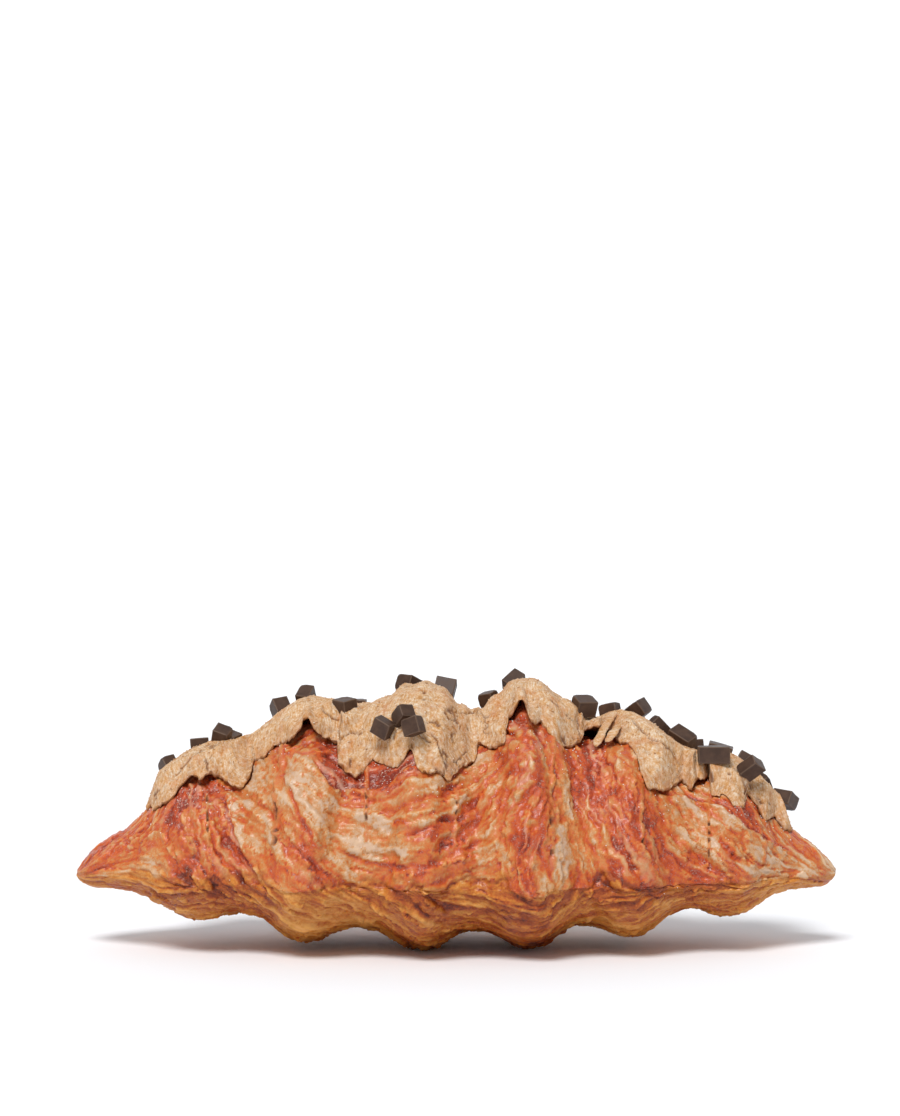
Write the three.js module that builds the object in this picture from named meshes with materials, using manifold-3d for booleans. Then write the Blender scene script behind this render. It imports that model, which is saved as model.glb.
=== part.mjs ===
// A croissant under a baked cookie sheet, strewn with dark chocolate chunks.
// Millimetres, +Z up. +X runs along the roll, -Y is the front flank.
// The origin is under the middle of the croissant, on the table it stands on.
import * as THREE from "three";
import { mergeVertices } from "three/addons/utils/BufferGeometryUtils.js";
import Module from "manifold-3d";

const wasm = await Module();
wasm.setup();

// ---- driving dimensions of the croissant ----
const LENGTH = 181.5; // tip to tip
const AXIS_Z = 17.6; // the roll's axis above the table
const DOME = 43.4; // axis to the top crust, at the middle
const BELLY = 18.3; // axis to the bottom crust, at the middle, before the table flattens it
const HALF_WIDTH = 36; // axis to the front crust, at the middle
const TIP_BELLY = 3.2; // how blunt the tips stay underneath
const GROOVE = 5.6; // depth of the valley between two turns of the roll
const GROOVE_SHARE = { out: 0.9, up: 1.1, down: 0.9 }; // how much of it shows at the flanks, top and bottom
const CREST_SHARPNESS = 1.15; // over 1 makes the turns narrower than their valleys
const REACH_SPREAD = 13; // how far along the roll a turn's own reach carries
// The powers by which the sizes die away towards the tips: a low power keeps them full for longer.
const TAPER = { out: 0.72, up: 0.8, down: 1.05, groove: 0.45, tipBelly: 24 };
// Each turn of the roll: where it is fattest, how far it stands out beside a smooth spindle,
// and how deep the valley after it is, beside GROOVE.
const TURNS = [
  { at: -63.5, reach: 0.4, valley: 1.05 },
  { at: -36.2, reach: 0.3, valley: 0.95 },
  { at: -8, reach: -1.2, valley: 1.45 },
  { at: 17.5, reach: 0.6, valley: 1 },
  { at: 42, reach: -1.6, valley: 0.95 },
  { at: 66.5, reach: 0.6, valley: 1 },
];
const UPPER_SQUARENESS = 2.05; // 2 is a round section
const LOWER_SQUARENESS = 1.75; // under 2, so the flank turns under at a soft edge
// Low folds of the crust that sweep over each turn.
const PLEAT = { height: 0.55, alongMm: 7.4, leanMm: 0.16, fadeLow: -75, fadeHigh: -35 };

// ---- driving dimensions of the cookie sheet ----
const SHEET = { from: -73.4, to: 80.2, thick: 3, edgeThick: 1.9, valleyFill: 0.6, gap: 0.8 };
const FRONT_EDGE = 58; // the sheet's usual edge, in degrees up from the front flank
// Tongues hang below the usual edge. Each has its middle, its half-width and its drop in degrees.
const TONGUES = [
  { at: -68.4, half: 6.6, drop: 14 },
  { at: -50, half: 7, drop: 13 },
  { at: -40, half: 3.4, drop: 7 },
  { at: -30, half: 4.5, drop: 4 },
  { at: -23, half: 5, drop: 17 },
  { at: -13.6, half: 4.6, drop: 18 },
  { at: -4.6, half: 5.4, drop: 23 },
  { at: 2.4, half: 4, drop: 9 },
  { at: 11.6, half: 3.6, drop: 9 },
  { at: 22, half: 6, drop: 5 },
  { at: 45.4, half: 4.8, drop: 17 },
  { at: 53, half: 4, drop: 7 },
  { at: 63.6, half: 4.2, drop: 15 },
  { at: 71.6, half: 3.4, drop: 13 },
  { at: 77, half: 3, drop: 6 },
];
// Arches rise above the usual edge, where the sheet stands clear of the crust by its lift.
const ARCHES = [
  { at: -60, half: 4.6, rise: 2, lift: 1.6 },
  { at: -35.5, half: 4.6, rise: 12, lift: 2.4 },
  { at: 16.2, half: 3.6, rise: 12, lift: 2.6 },
  { at: 32, half: 3.8, rise: 15, lift: 2.4 },
  { at: 57.6, half: 3, rise: 8, lift: 1.6 },
];
const BACK_EDGE = { usual: 139, swing: 8, everyMm: 21 };
const SHEET_END = { length: 7, front: 6, back: 22 }; // how many degrees the sheet narrows by at both ends

// ---- driving dimensions of the chocolate ----
const CHUNK = { edge: 4.2, bevel: 0.25, sunk: 1, pocketGap: 0.3, seed: 11 };
// Where each chunk at the front and on the ridge has come to rest: along the roll, degrees round it,
// its turn about the vertical, its nod towards the front, its lean to the right, its three sides,
// and how far it is sunk where that differs from the rest.
const PLACED_CHUNKS = [
  { along: -66, round: 120, turn: 35, nod: -25, lean: -30, sides: [3.5, 4.5, 4] },
  { along: -63, round: 127, turn: 35, nod: -30, lean: -30, sides: [4, 4, 4] },
  { along: -61, round: 116, turn: 5, nod: -5, lean: -5, sides: [4.5, 4, 4] },
  { along: -56.5, round: 85, turn: -15, nod: 35, lean: 10, sides: [4, 3.5, 4.5] },
  { along: -54.5, round: 112, turn: -35, nod: 20, lean: 5, sides: [3.5, 3.5, 4] },
  { along: -39, round: 108, turn: 30, nod: -30, lean: -25, sides: [4, 4, 4] },
  { along: -35.4, round: 110, turn: -25, nod: 35, lean: -10, sides: [3.5, 4.5, 3.5] },
  { along: -28.5, round: 74, turn: 40, nod: 10, lean: -5, sides: [4, 4.5, 3.5] },
  { along: -24, round: 108, turn: -5, nod: 0, lean: 0, sides: [4, 4.5, 3.5] },
  { along: -9.5, round: 112, turn: -40, nod: -15, lean: 15, sides: [4.5, 5.5, 4] },
  { along: -5.5, round: 112, turn: -10, nod: -30, lean: 15, sides: [5, 3.5, 4.5] },
  { along: -13.4, round: 54.4, turn: -25, nod: 20, lean: 20, sides: [4.5, 3, 4] },
  { along: -10.2, round: 57.5, turn: 40, nod: -35, lean: -20, sides: [3.8, 4.6, 3.5], sunk: 1.9 },
  { along: -8.7, round: 50.4, turn: -25, nod: -15, lean: -15, sides: [4.3, 3.5, 4], sunk: 0.7 },
  { along: 12.2, round: 113, turn: -30, nod: 5, lean: -15, sides: [3.8, 4, 3.5] },
  { along: 16, round: 113, turn: -45, nod: 45, lean: -5, sides: [3.5, 5, 4.2] },
  { along: 26.5, round: 82, turn: 25, nod: 20, lean: 10, sides: [5, 4.5, 4] },
  { along: 38.5, round: 106, turn: -25, nod: -15, lean: -10, sides: [4.5, 3.5, 3.5] },
  { along: 42, round: 110, turn: -30, nod: -10, lean: -35, sides: [5, 4.5, 4] },
  { along: 46, round: 102, turn: 10, nod: -10, lean: 45, sides: [6, 4, 3.5] },
  { along: 50.5, round: 95, turn: -35, nod: 35, lean: 10, sides: [6, 4, 4] },
  { along: 57, round: 104, turn: 30, nod: -5, lean: -5, sides: [4, 4, 3.5] },
  { along: 61.5, round: 69, turn: 0, nod: 0, lean: 0, sides: [7.5, 4.5, 4] },
  { along: 63.5, round: 117, turn: -5, nod: 5, lean: 15, sides: [6, 4.5, 3.5] },
  { along: 67.5, round: 112, turn: -5, nod: -20, lean: 30, sides: [5.5, 3.5, 3.5] },
  { along: 66.5, round: 64, turn: -25, nod: -45, lean: -20, sides: [5, 4.5, 3] },
  { along: 70.5, round: 121, turn: 35, nod: -20, lean: 55, sides: [4.5, 4, 3.5] },
  { along: 75, round: 122, turn: -35, nod: -20, lean: 20, sides: [5, 5, 3.5] },
];
// The back flank carries more, strewn at random but clear of one another.
const STREWN_CHUNKS = { count: 13, from: -62, to: 68, lowest: 136, highest: 121, apart: 7.5 };

// ---- mesh fineness ----
const CRUST_GRID = { along: 84, round: 36, crowding: 0.35, lastRow: 0.998 };
const SHEET_GRID = { along: 84, across: 10 };

// A random number from 0 to 1, the same on every run.
function seededRandom(seed) {
  let state = seed;
  return () => {
    state = (state * 1664525 + 1013904223) % 4294967296;
    return state / 4294967296;
  };
}

const { degToRad, smoothstep } = THREE.MathUtils;

// Counts turns along the roll: whole numbers on each crest, halves in each valley.
function turnPhase(x) {
  const [first, second] = TURNS;
  const [lastButOne, last] = TURNS.slice(-2);
  const crests = [2 * first.at - second.at, ...TURNS.map((turn) => turn.at), 2 * last.at - lastButOne.at];
  let i = 0;
  while (i < crests.length - 2 && x > crests[i + 1]) i++;
  return i + (x - crests[i]) / (crests[i + 1] - crests[i]);
}

// 1 on the crest of a turn and 0 in the valley beside it.
function crestShare(x) {
  return Math.pow((1 + Math.cos(2 * Math.PI * turnPhase(x))) / 2, CREST_SHARPNESS);
}

// How far the turns near x stand out from the smooth spindle.
function turnReach(x) {
  const nearness = (turn) => Math.exp(-(((x - turn.at) / REACH_SPREAD) ** 2));
  return TURNS.reduce((sum, turn) => sum + turn.reach * nearness(turn), 0);
}

// The folds lean with the roll, and fade out towards the tips and the flat of the bottom.
function pleat(x, degrees, slimness) {
  const height = Math.sin(degToRad(degrees)) * 90;
  const onSide = smoothstep(height, PLEAT.fadeLow, PLEAT.fadeHigh);
  const sweep = (x + PLEAT.leanMm * degrees * Math.sin(x / 19)) / PLEAT.alongMm;
  const wide = Math.sin(2 * Math.PI * sweep);
  const fine = Math.sin(2 * Math.PI * (sweep * 0.61 + degrees / 97));
  return PLEAT.height * slimness * onSide * (0.6 * wide + 0.4 * fine);
}

// Half-sizes of the section at x: out to the flanks, up to the top and down to the bottom crust.
function sectionAt(x) {
  const t = Math.min(1, Math.abs(x) / (LENGTH / 2));
  const slimness = 1 - t * t;
  const lastTurn = Math.floor(turnPhase(x)) - 1;
  const valley = lastTurn < 0 ? 1 : TURNS[Math.min(lastTurn, TURNS.length - 1)].valley;
  const groove = GROOVE * (1 - crestShare(x)) * Math.pow(slimness, TAPER.groove);
  const tipBelly = TIP_BELLY * Math.sqrt(1 - Math.pow(t, TAPER.tipBelly));
  const out = HALF_WIDTH * Math.pow(slimness, TAPER.out) - groove * GROOVE_SHARE.out + turnReach(x) / 2;
  const up = DOME * Math.pow(slimness, TAPER.up) - groove * GROOVE_SHARE.up * valley + turnReach(x);
  const down = (BELLY - TIP_BELLY) * Math.pow(slimness, TAPER.down) + tipBelly - groove * GROOVE_SHARE.down;
  return { slimness, out: Math.max(0, out), up: Math.max(0, up), down: Math.max(0, down) };
}

// A point of the crust. 0 degrees is the front flank, 90 the top, 180 the back flank and 270 the bottom.
function crustPoint(x, degrees, folded = true) {
  const section = sectionAt(x);
  const [c, s] = [Math.cos(degToRad(degrees)), Math.sin(degToRad(degrees))];
  const power = 2 / (s >= 0 ? UPPER_SQUARENESS : LOWER_SQUARENESS);
  const fold = folded ? pleat(x, degrees, section.slimness) : 0;
  const y = -Math.sign(c) * Math.pow(Math.abs(c), power) * (section.out + fold);
  const z = Math.sign(s) * Math.pow(Math.abs(s), power) * ((s >= 0 ? section.up : section.down) + fold);
  return new THREE.Vector3(x, y, AXIS_Z + z);
}

// The crust's outward direction, its small folds left out, from two short steps over it.
function crustNormal(x, degrees) {
  const step = 0.4;
  const along = crustPoint(x + step, degrees, false).sub(crustPoint(x - step, degrees, false));
  const round = crustPoint(x, degrees + step, false).sub(crustPoint(x, degrees - step, false));
  return along.cross(round).normalize();
}

// ---- solids from rows of points ----

// Closes rows of points into one surface. Each row wraps round, and both end rows are fanned shut.
function loftedGeometry(rows) {
  const around = rows[0].length;
  const points = rows.flat();
  const middles = [rows[0], rows.at(-1)].map((row) =>
    row.reduce((sum, point) => sum.add(point), new THREE.Vector3()).divideScalar(around),
  );
  const [first, last] = [points.length, points.length + 1];
  points.push(...middles);
  const end = (rows.length - 1) * around;
  const faces = [];
  for (let j = 0; j < around; j++) {
    const next = (j + 1) % around;
    for (let i = 0; i < rows.length - 1; i++) {
      const [a, b] = [i * around + j, i * around + next];
      faces.push(a, b + around, b, a, a + around, b + around);
    }
    faces.push(first, j, next, last, end + next, end + j);
  }
  const geometry = new THREE.BufferGeometry().setFromPoints(points);
  geometry.setIndex(faces);
  return geometry;
}

function toSolid(geometry) {
  const bare = geometry.clone();
  bare.deleteAttribute("normal");
  bare.deleteAttribute("uv");
  const merged = mergeVertices(bare, 1e-4);
  return new wasm.Manifold(
    new wasm.Mesh({
      numProp: 3,
      vertProperties: merged.attributes.position.array,
      triVerts: new Uint32Array(merged.index.array),
    }),
  );
}

function toGeometry(solid) {
  const made = solid.getMesh();
  const geometry = new THREE.BufferGeometry();
  geometry.setAttribute("position", new THREE.BufferAttribute(made.vertProperties, 3));
  geometry.setIndex(new THREE.BufferAttribute(made.triVerts, 1));
  geometry.computeVertexNormals();
  return geometry;
}

function namedMesh(name, geometry, finish) {
  const mesh = new THREE.Mesh(geometry, finish);
  mesh.name = name;
  return mesh;
}

// ---- croissant ----

// The rows stand closer together at the tips. What lies below the table is cut away, which leaves flat feet.
function croissantGeometry() {
  const { along, round, crowding, lastRow } = CRUST_GRID;
  const rows = [];
  for (let i = 0; i <= along; i++) {
    const even = (2 * i) / along - 1;
    const crowded = -Math.cos((Math.PI * i) / along);
    const x = THREE.MathUtils.lerp(even, crowded, crowding) * lastRow * (LENGTH / 2);
    rows.push(Array.from({ length: round }, (_, j) => crustPoint(x, (j * 360) / round)));
  }
  const overTable = new THREE.BoxGeometry(LENGTH, LENGTH, LENGTH).translate(0, 0, LENGTH / 2);
  return toGeometry(toSolid(loftedGeometry(rows)).intersect(toSolid(overTable)));
}

// ---- cookie sheet ----

// 1 at the middle of a tongue or arch and 0 past its half-width. A high power makes it blunt.
function hump(x, { at, half }, power) {
  return 1 - Math.pow(Math.min(1, Math.abs(x - at) / half), power);
}

// 1 at either end of the sheet and 0 well inside it.
function nearEnd(x) {
  return 1 - smoothstep(Math.min(x - SHEET.from, SHEET.to - x), 0, SHEET_END.length);
}

function frontEdge(x) {
  const drop = Math.max(...TONGUES.map((tongue) => tongue.drop * hump(x, tongue, 3)));
  const rise = Math.max(...ARCHES.map((arch) => arch.rise * hump(x, arch, 2)));
  return FRONT_EDGE - drop + rise + SHEET_END.front * nearEnd(x);
}

function backEdge(x) {
  const turn = (2 * Math.PI * x) / BACK_EDGE.everyMm;
  const swing = BACK_EDGE.swing * (Math.sin(turn) + 0.45 * Math.sin(2.3 * turn + 1));
  return BACK_EDGE.usual + swing - SHEET_END.back * nearEnd(x);
}

function fullThickness(x) {
  return SHEET.thick + SHEET.valleyFill * (1 - crestShare(x));
}

// A point of the sheet: across is 0 at its front edge and 1 at its back, skin is 0 inside and 1 outside.
function sheetPoint(x, across, skin) {
  const [front, back] = [frontEdge(x), backEdge(x)];
  const degrees = front + (back - front) * across;
  const nearFront = 1 - smoothstep(degrees - front, 0, 16);
  const lift = nearFront * Math.max(...ARCHES.map((arch) => arch.lift * hump(x, arch, 2)));
  const fromEnd = 3 * Math.min(x - SHEET.from, SHEET.to - x);
  const nearEdge = 1 - smoothstep(Math.min(degrees - front, back - degrees, fromEnd), 0, 6);
  const thick = THREE.MathUtils.lerp(fullThickness(x), SHEET.edgeThick, nearEdge);
  return crustPoint(x, degrees).addScaledVector(crustNormal(x, degrees), SHEET.gap + lift + thick * skin);
}

function sheetGeometry() {
  const { along, across } = SHEET_GRID;
  const rows = [];
  for (let i = 0; i <= along; i++) {
    const x = SHEET.from + ((SHEET.to - SHEET.from) * i) / along;
    const outside = Array.from({ length: across + 1 }, (_, j) => sheetPoint(x, j / across, 1));
    const inside = Array.from({ length: across + 1 }, (_, j) => sheetPoint(x, 1 - j / across, 0));
    rows.push([...outside, ...inside]);
  }
  return loftedGeometry(rows);
}

// ---- chocolate chunks ----

// A bevelled block, its middle at the origin.
function blockGeometry([length, width, height], bevel) {
  const [x, y] = [length / 2 - bevel, width / 2 - bevel];
  const corners = [[-x, -y], [x, -y], [x, y], [-x, y]].map(([u, v]) => new THREE.Vector2(u, v));
  const depth = height - 2 * bevel;
  const options = { depth, steps: 1, bevelSize: bevel, bevelThickness: bevel, bevelSegments: 1 };
  return new THREE.ExtrudeGeometry(new THREE.Shape(corners), options).translate(0, 0, -depth / 2);
}

// Stands a turned block on the sheet, so that its lowest corner is sunk into it.
function placeOnSheet(along, round, rotation, sides, sunk = CHUNK.sunk) {
  const normal = crustNormal(along, round);
  const axes = [new THREE.Vector3(), new THREE.Vector3(), new THREE.Vector3()];
  rotation.extractBasis(...axes);
  const lowestCorner = axes.reduce((sum, axis, i) => sum + (sides[i] / 2) * Math.abs(axis.dot(normal)), 0);
  const overCrust = SHEET.gap + fullThickness(along) - sunk + lowestCorner;
  return rotation.clone().setPosition(crustPoint(along, round).addScaledVector(normal, overCrust));
}

function placedChunks() {
  return PLACED_CHUNKS.map(({ along, round, turn, nod, lean, sides, sunk }) => {
    const angles = new THREE.Euler(degToRad(nod), degToRad(lean), degToRad(turn), "YXZ");
    const rotation = new THREE.Matrix4().makeRotationFromEuler(angles);
    return { sides, place: placeOnSheet(along, round, rotation, sides, sunk) };
  });
}

// Each strewn chunk lies flat on the slope. A spot too near to another chunk is passed over.
function strewnChunks(others) {
  const random = seededRandom(CHUNK.seed);
  const middle = ({ place }) => new THREE.Vector3().setFromMatrixPosition(place);
  const chunks = [];
  while (chunks.length < STREWN_CHUNKS.count) {
    const along = THREE.MathUtils.lerp(STREWN_CHUNKS.from, STREWN_CHUNKS.to, random());
    const round = THREE.MathUtils.lerp(STREWN_CHUNKS.lowest, STREWN_CHUNKS.highest, random());
    const sides = [0, 0, 0].map(() => CHUNK.edge * (0.85 + 0.35 * random()));
    const normal = crustNormal(along, round);
    const sideways = new THREE.Vector3(0, 1, 0).cross(normal).normalize();
    const slope = new THREE.Matrix4().makeBasis(sideways, normal.clone().cross(sideways), normal);
    slope.multiply(new THREE.Matrix4().makeRotationZ(Math.PI * random()));
    const chunk = { sides, place: placeOnSheet(along, round, slope, sides) };
    const onSheet = round < backEdge(along) - 6;
    const gaps = [...others, ...chunks].map((other) => middle(other).distanceTo(middle(chunk)));
    const clear = Math.min(...gaps) > STREWN_CHUNKS.apart;
    if (onSheet && clear) chunks.push(chunk);
  }
  return chunks;
}

// The hollow that a chunk has pressed into the sheet, a little wider than the chunk.
function pocket({ sides, place }) {
  const [length, width, height] = sides.map((side) => side + 2 * CHUNK.pocketGap);
  return toSolid(new THREE.BoxGeometry(length, width, height).applyMatrix4(place));
}

// ---- the whole ----
const crustFinish = new THREE.MeshStandardMaterial({ name: "crust", color: "#c8825c", roughness: 0.4 });
const cookieFinish = new THREE.MeshStandardMaterial({ name: "cookie", color: "#cba27c", roughness: 0.85 });
const chocolateFinish = new THREE.MeshStandardMaterial({ name: "chocolate", color: "#4d3a30" });

const group = new THREE.Group();
const placed = placedChunks();
const chunks = [...placed, ...strewnChunks(placed)];
const pressedSheet = chunks.reduce((sheet, chunk) => sheet.subtract(pocket(chunk)), toSolid(sheetGeometry()));

group.add(namedMesh("croissant", croissantGeometry(), crustFinish));
group.add(namedMesh("cookie_sheet", toGeometry(pressedSheet), cookieFinish));
chunks.forEach(({ sides, place }, i) => {
  const name = `chunk_${String(i + 1).padStart(2, "0")}`;
  const chunk = namedMesh(name, blockGeometry(sides, CHUNK.bevel), chocolateFinish);
  chunk.applyMatrix4(place);
  group.add(chunk);
});

export default group;
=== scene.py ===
import math

import bmesh
import bpy
import numpy as np
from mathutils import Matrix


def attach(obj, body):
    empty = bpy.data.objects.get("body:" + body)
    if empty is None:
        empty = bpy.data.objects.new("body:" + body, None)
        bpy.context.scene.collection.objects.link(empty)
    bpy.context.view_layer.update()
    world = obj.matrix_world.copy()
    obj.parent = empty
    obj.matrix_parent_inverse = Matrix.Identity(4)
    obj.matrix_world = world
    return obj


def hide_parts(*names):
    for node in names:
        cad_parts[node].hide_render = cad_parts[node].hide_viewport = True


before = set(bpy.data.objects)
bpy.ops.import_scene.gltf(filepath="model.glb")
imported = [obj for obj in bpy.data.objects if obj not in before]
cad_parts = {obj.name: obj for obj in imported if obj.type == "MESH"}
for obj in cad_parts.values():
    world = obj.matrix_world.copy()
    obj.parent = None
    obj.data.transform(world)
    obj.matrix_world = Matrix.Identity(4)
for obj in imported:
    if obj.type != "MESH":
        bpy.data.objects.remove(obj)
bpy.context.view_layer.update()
mm = 0.001
print("frame loaded:", len(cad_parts), "nodes")

photograph = {
    "pixels": (900, 1116),
    "pixelSize": 0.24,       # mm to a pixel, at the middle of the croissant
    "frontPixel": 0.235,     # and on its front, which is nearer
    "distance": 800,         # from the camera to the middle
    "elevation": 6,          # degrees
    "middle": (0, 0, 32),    # the point that stands at middlePixel
    "middlePixel": (455.5, 812),
    "sensor": 36,
    "clip": (50, 20000),
}


def addObject(name, data):
    made = bpy.data.objects.new(name, data)
    bpy.context.scene.collection.objects.link(made)
    return made


def placeCamera(shot):
    focal = shot["distance"] / shot["pixelSize"]
    wide, high = shot["pixels"]
    elevation = math.radians(shot["elevation"])
    back = np.array([0, -math.cos(elevation), math.sin(elevation)])
    place = np.array(shot["middle"]) + shot["distance"] * back
    pitch = math.atan((shot["middlePixel"][1] - high / 2) / focal) - elevation
    yaw = math.atan((shot["middlePixel"][0] - wide / 2) / focal)
    data = bpy.data.cameras.new("camera")
    data.sensor_width = shot["sensor"]
    data.lens = focal / max(wide, high) * shot["sensor"]
    data.clip_start, data.clip_end = [length * mm for length in shot["clip"]]
    camera = addObject("camera", data)
    camera.location = place * mm
    camera.rotation_euler = (math.pi / 2 + pitch, 0, yaw)
    bpy.context.scene.camera = camera
    turn = np.array(camera.rotation_euler.to_matrix())
    return {"place": place, "turn": turn, "focal": focal, "centre": np.array([wide / 2, high / 2])}


lens = placeCamera(photograph)


# where points in mm stand in the photograph, in its pixels
def seenAt(points):
    local = (points - lens["place"]) @ lens["turn"]
    return lens["centre"] + lens["focal"] * np.stack([local[..., 0], -local[..., 1]], -1) / -local[..., 2:3]


def smooth(value, low, high):
    t = np.clip((value - low) / (high - low), 0, 1)
    return t * t * (3 - 2 * t)


# 1 along the middle of a path and less towards both its ends
def tapered(along, low, high):
    return smooth(along, low, high) * smooth(1 - along, low, high)


def blend(a, b, share):
    return a + (b - a) * share


def unit(vectors):
    return vectors / np.maximum(np.linalg.norm(vectors, axis=-1, keepdims=True), 1e-9)


# a random number from -1 to 1 for each cell of a grid
def cellValue(cell, seed):
    h = (cell[..., 0] * 374761393 + cell[..., 1] * 668265263 + cell[..., 2] * 1440670441 + seed * 974634777)
    h = h & 0xFFFFFFFF
    h = ((h ^ (h >> 13)) * 1274126177) & 0xFFFFFFFF
    return ((h ^ (h >> 16)) & 0xFFFFFF) / 0x7FFFFF - 1


# soft noise whose lumps are about one size across, from -1 to 1
def lumps(points, size, seed):
    at = points / size
    cell = np.floor(at).astype(np.int64)
    f = at - cell
    f = f * f * f * (f * (f * 6 - 15) + 10)
    total = 0
    for corner in range(8):
        step = np.array([corner & 1, corner >> 1 & 1, corner >> 2 & 1])
        share = np.prod(np.where(step, f, 1 - f), -1)
        total = total + share * cellValue(cell + step, seed)
    return total


# lumps of several sizes, each half as large and half as strong as the last
def roughness(points, size, seed, layers=3):
    return sum(lumps(points, size / 2**i, seed + 17 * i) / 2**i for i in range(layers))


# the same in three directions, to push points about
def wobble(points, size, seed, layers=3):
    return np.stack([roughness(points, size, seed + k, layers) for k in range(3)], -1)


# distance to the nearest two of a field of scattered seeds: their difference is 0 on the cracks between cells
def cellEdges(points, size, seed):
    at = points / size
    base = np.floor(at).astype(np.int64)
    nearest = np.full(at.shape[:-1], 9.0)
    second = np.full(at.shape[:-1], 9.0)
    for n in range(27):
        cell = base + np.array([n % 3 - 1, n // 3 % 3 - 1, n // 9 - 1])
        seedPoint = cell + 0.5 + 0.42 * np.stack([cellValue(cell, seed + k) for k in range(3)], -1)
        distance = np.linalg.norm(at - seedPoint, axis=-1)
        second = np.minimum(second, np.maximum(nearest, distance))
        nearest = np.minimum(nearest, distance)
    return (second - nearest) * size


# signed distance in pixels from seen points to a drawn path: above 0 on its right-hand side.
# The second result is how far along the path the nearest point lies, from 0 to 1.
def fromPath(seen, path):
    path = np.array(path, float)
    lengths = np.linalg.norm(np.diff(path, axis=0), axis=1)
    best = np.full(seen.shape[:-1], 1e9)
    signed = np.zeros(seen.shape[:-1])
    along = np.zeros(seen.shape[:-1])
    done = 0
    for a, b, length in zip(path[:-1], path[1:], lengths):
        ahead = (b - a) / length
        rel = seen - a
        t = np.clip(rel @ ahead, 0, length)
        distance = np.linalg.norm(rel - t[..., None] * ahead, axis=-1)
        side = np.where(ahead[0] * rel[..., 1] - ahead[1] * rel[..., 0] >= 0, 1.0, -1.0)
        closer = distance < best
        best = np.where(closer, distance, best)
        signed = np.where(closer, side * distance, signed)
        along = np.where(closer, (done + t) / lengths.sum(), along)
        done += length
    return signed, along


# the croissant's form, in the same sizes as the solids
form = {
    "length": 181.5, "axisZ": 17.6, "dome": 43.4, "belly": 18.3, "halfWidth": 36, "tipBelly": 3.2,
    "groove": 5.6, "grooveOut": 0.9, "grooveUp": 1.1, "grooveDown": 0.9,
    "crestSharpness": 1.15, "reachSpread": 13,
    "taperOut": 0.72, "taperUp": 0.8, "taperDown": 1.05, "taperGroove": 0.45, "taperTip": 24,
    "upperSquareness": 2.05, "lowerSquareness": 1.75,
    "pleatHeight": 0.55, "pleatAlong": 7.4, "pleatLean": 0.16, "pleatFadeLow": -75, "pleatFadeHigh": -35,
}
# each turn of the roll: where it is fattest, how far it stands out, and how deep the valley after it is
turns = [
    {"at": -63.5, "reach": 0.4, "valley": 1.05},
    {"at": -36.2, "reach": 0.3, "valley": 0.95},
    {"at": -8, "reach": -1.2, "valley": 1.45},
    {"at": 17.5, "reach": 0.6, "valley": 1},
    {"at": 42, "reach": -1.6, "valley": 0.95},
    {"at": 66.5, "reach": 0.6, "valley": 1},
]
turnAt = np.array([turn["at"] for turn in turns])
crests = np.concatenate([[2 * turnAt[0] - turnAt[1]], turnAt, [2 * turnAt[-1] - turnAt[-2]]])
valleys = np.array([1] + [turn["valley"] for turn in turns])


# counts turns along the roll: whole numbers on each crest, halves in each valley
def turnPhase(x):
    i = np.searchsorted(crests[1:-1], x)
    return i + (x - crests[i]) / (crests[i + 1] - crests[i])


def crestShare(x):
    return ((1 + np.cos(2 * np.pi * turnPhase(x))) / 2) ** form["crestSharpness"]


# how full the roll is at x, from 0 to 1, and how far it reaches out, up and down from its axis
def sectionAt(x):
    t = np.minimum(1, np.abs(x) / (form["length"] / 2))
    slim = 1 - t * t
    reach = sum(turn["reach"] * np.exp(-(((x - turn["at"]) / form["reachSpread"]) ** 2)) for turn in turns)
    valley = valleys[np.clip(np.floor(turnPhase(x)).astype(int), 0, len(turns))]
    groove = form["groove"] * (1 - crestShare(x)) * slim ** form["taperGroove"]
    tip = form["tipBelly"] * np.sqrt(1 - t ** form["taperTip"])
    out = form["halfWidth"] * slim ** form["taperOut"] - groove * form["grooveOut"] + reach / 2
    up = form["dome"] * slim ** form["taperUp"] - groove * form["grooveUp"] * valley + reach
    down = (form["belly"] - form["tipBelly"]) * slim ** form["taperDown"] + tip - groove * form["grooveDown"]
    return slim, np.maximum(out, 0), np.maximum(up, 0), np.maximum(down, 0)


# a point of the bare crust: 0 degrees is the front flank, 90 the top, 180 the back flank and 270 the bottom
def crustPoint(x, degrees, folded=True):
    x, degrees = np.broadcast_arrays(x, degrees)
    slim, out, up, down = sectionAt(x)
    c = np.cos(np.radians(degrees))
    s = np.sin(np.radians(degrees))
    fold = 0
    if folded:
        onSide = smooth(s * 90, form["pleatFadeLow"], form["pleatFadeHigh"])
        sweep = (x + form["pleatLean"] * degrees * np.sin(x / 19)) / form["pleatAlong"]
        wave = 0.6 * np.sin(2 * np.pi * sweep) + 0.4 * np.sin(2 * np.pi * (sweep * 0.61 + degrees / 97))
        fold = form["pleatHeight"] * slim * onSide * wave
    power = np.where(s >= 0, 2 / form["upperSquareness"], 2 / form["lowerSquareness"])
    y = -np.sign(c) * np.abs(c) ** power * (out + fold)
    z = np.sign(s) * np.abs(s) ** power * (np.where(s >= 0, up, down) + fold)
    return np.stack([x, y, form["axisZ"] + z], -1)


def crustNormal(x, degrees):
    step = 0.4
    along = crustPoint(x + step, degrees, False) - crustPoint(x - step, degrees, False)
    around = crustPoint(x, degrees + step, False) - crustPoint(x, degrees - step, False)
    return unit(np.cross(along, around))


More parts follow.
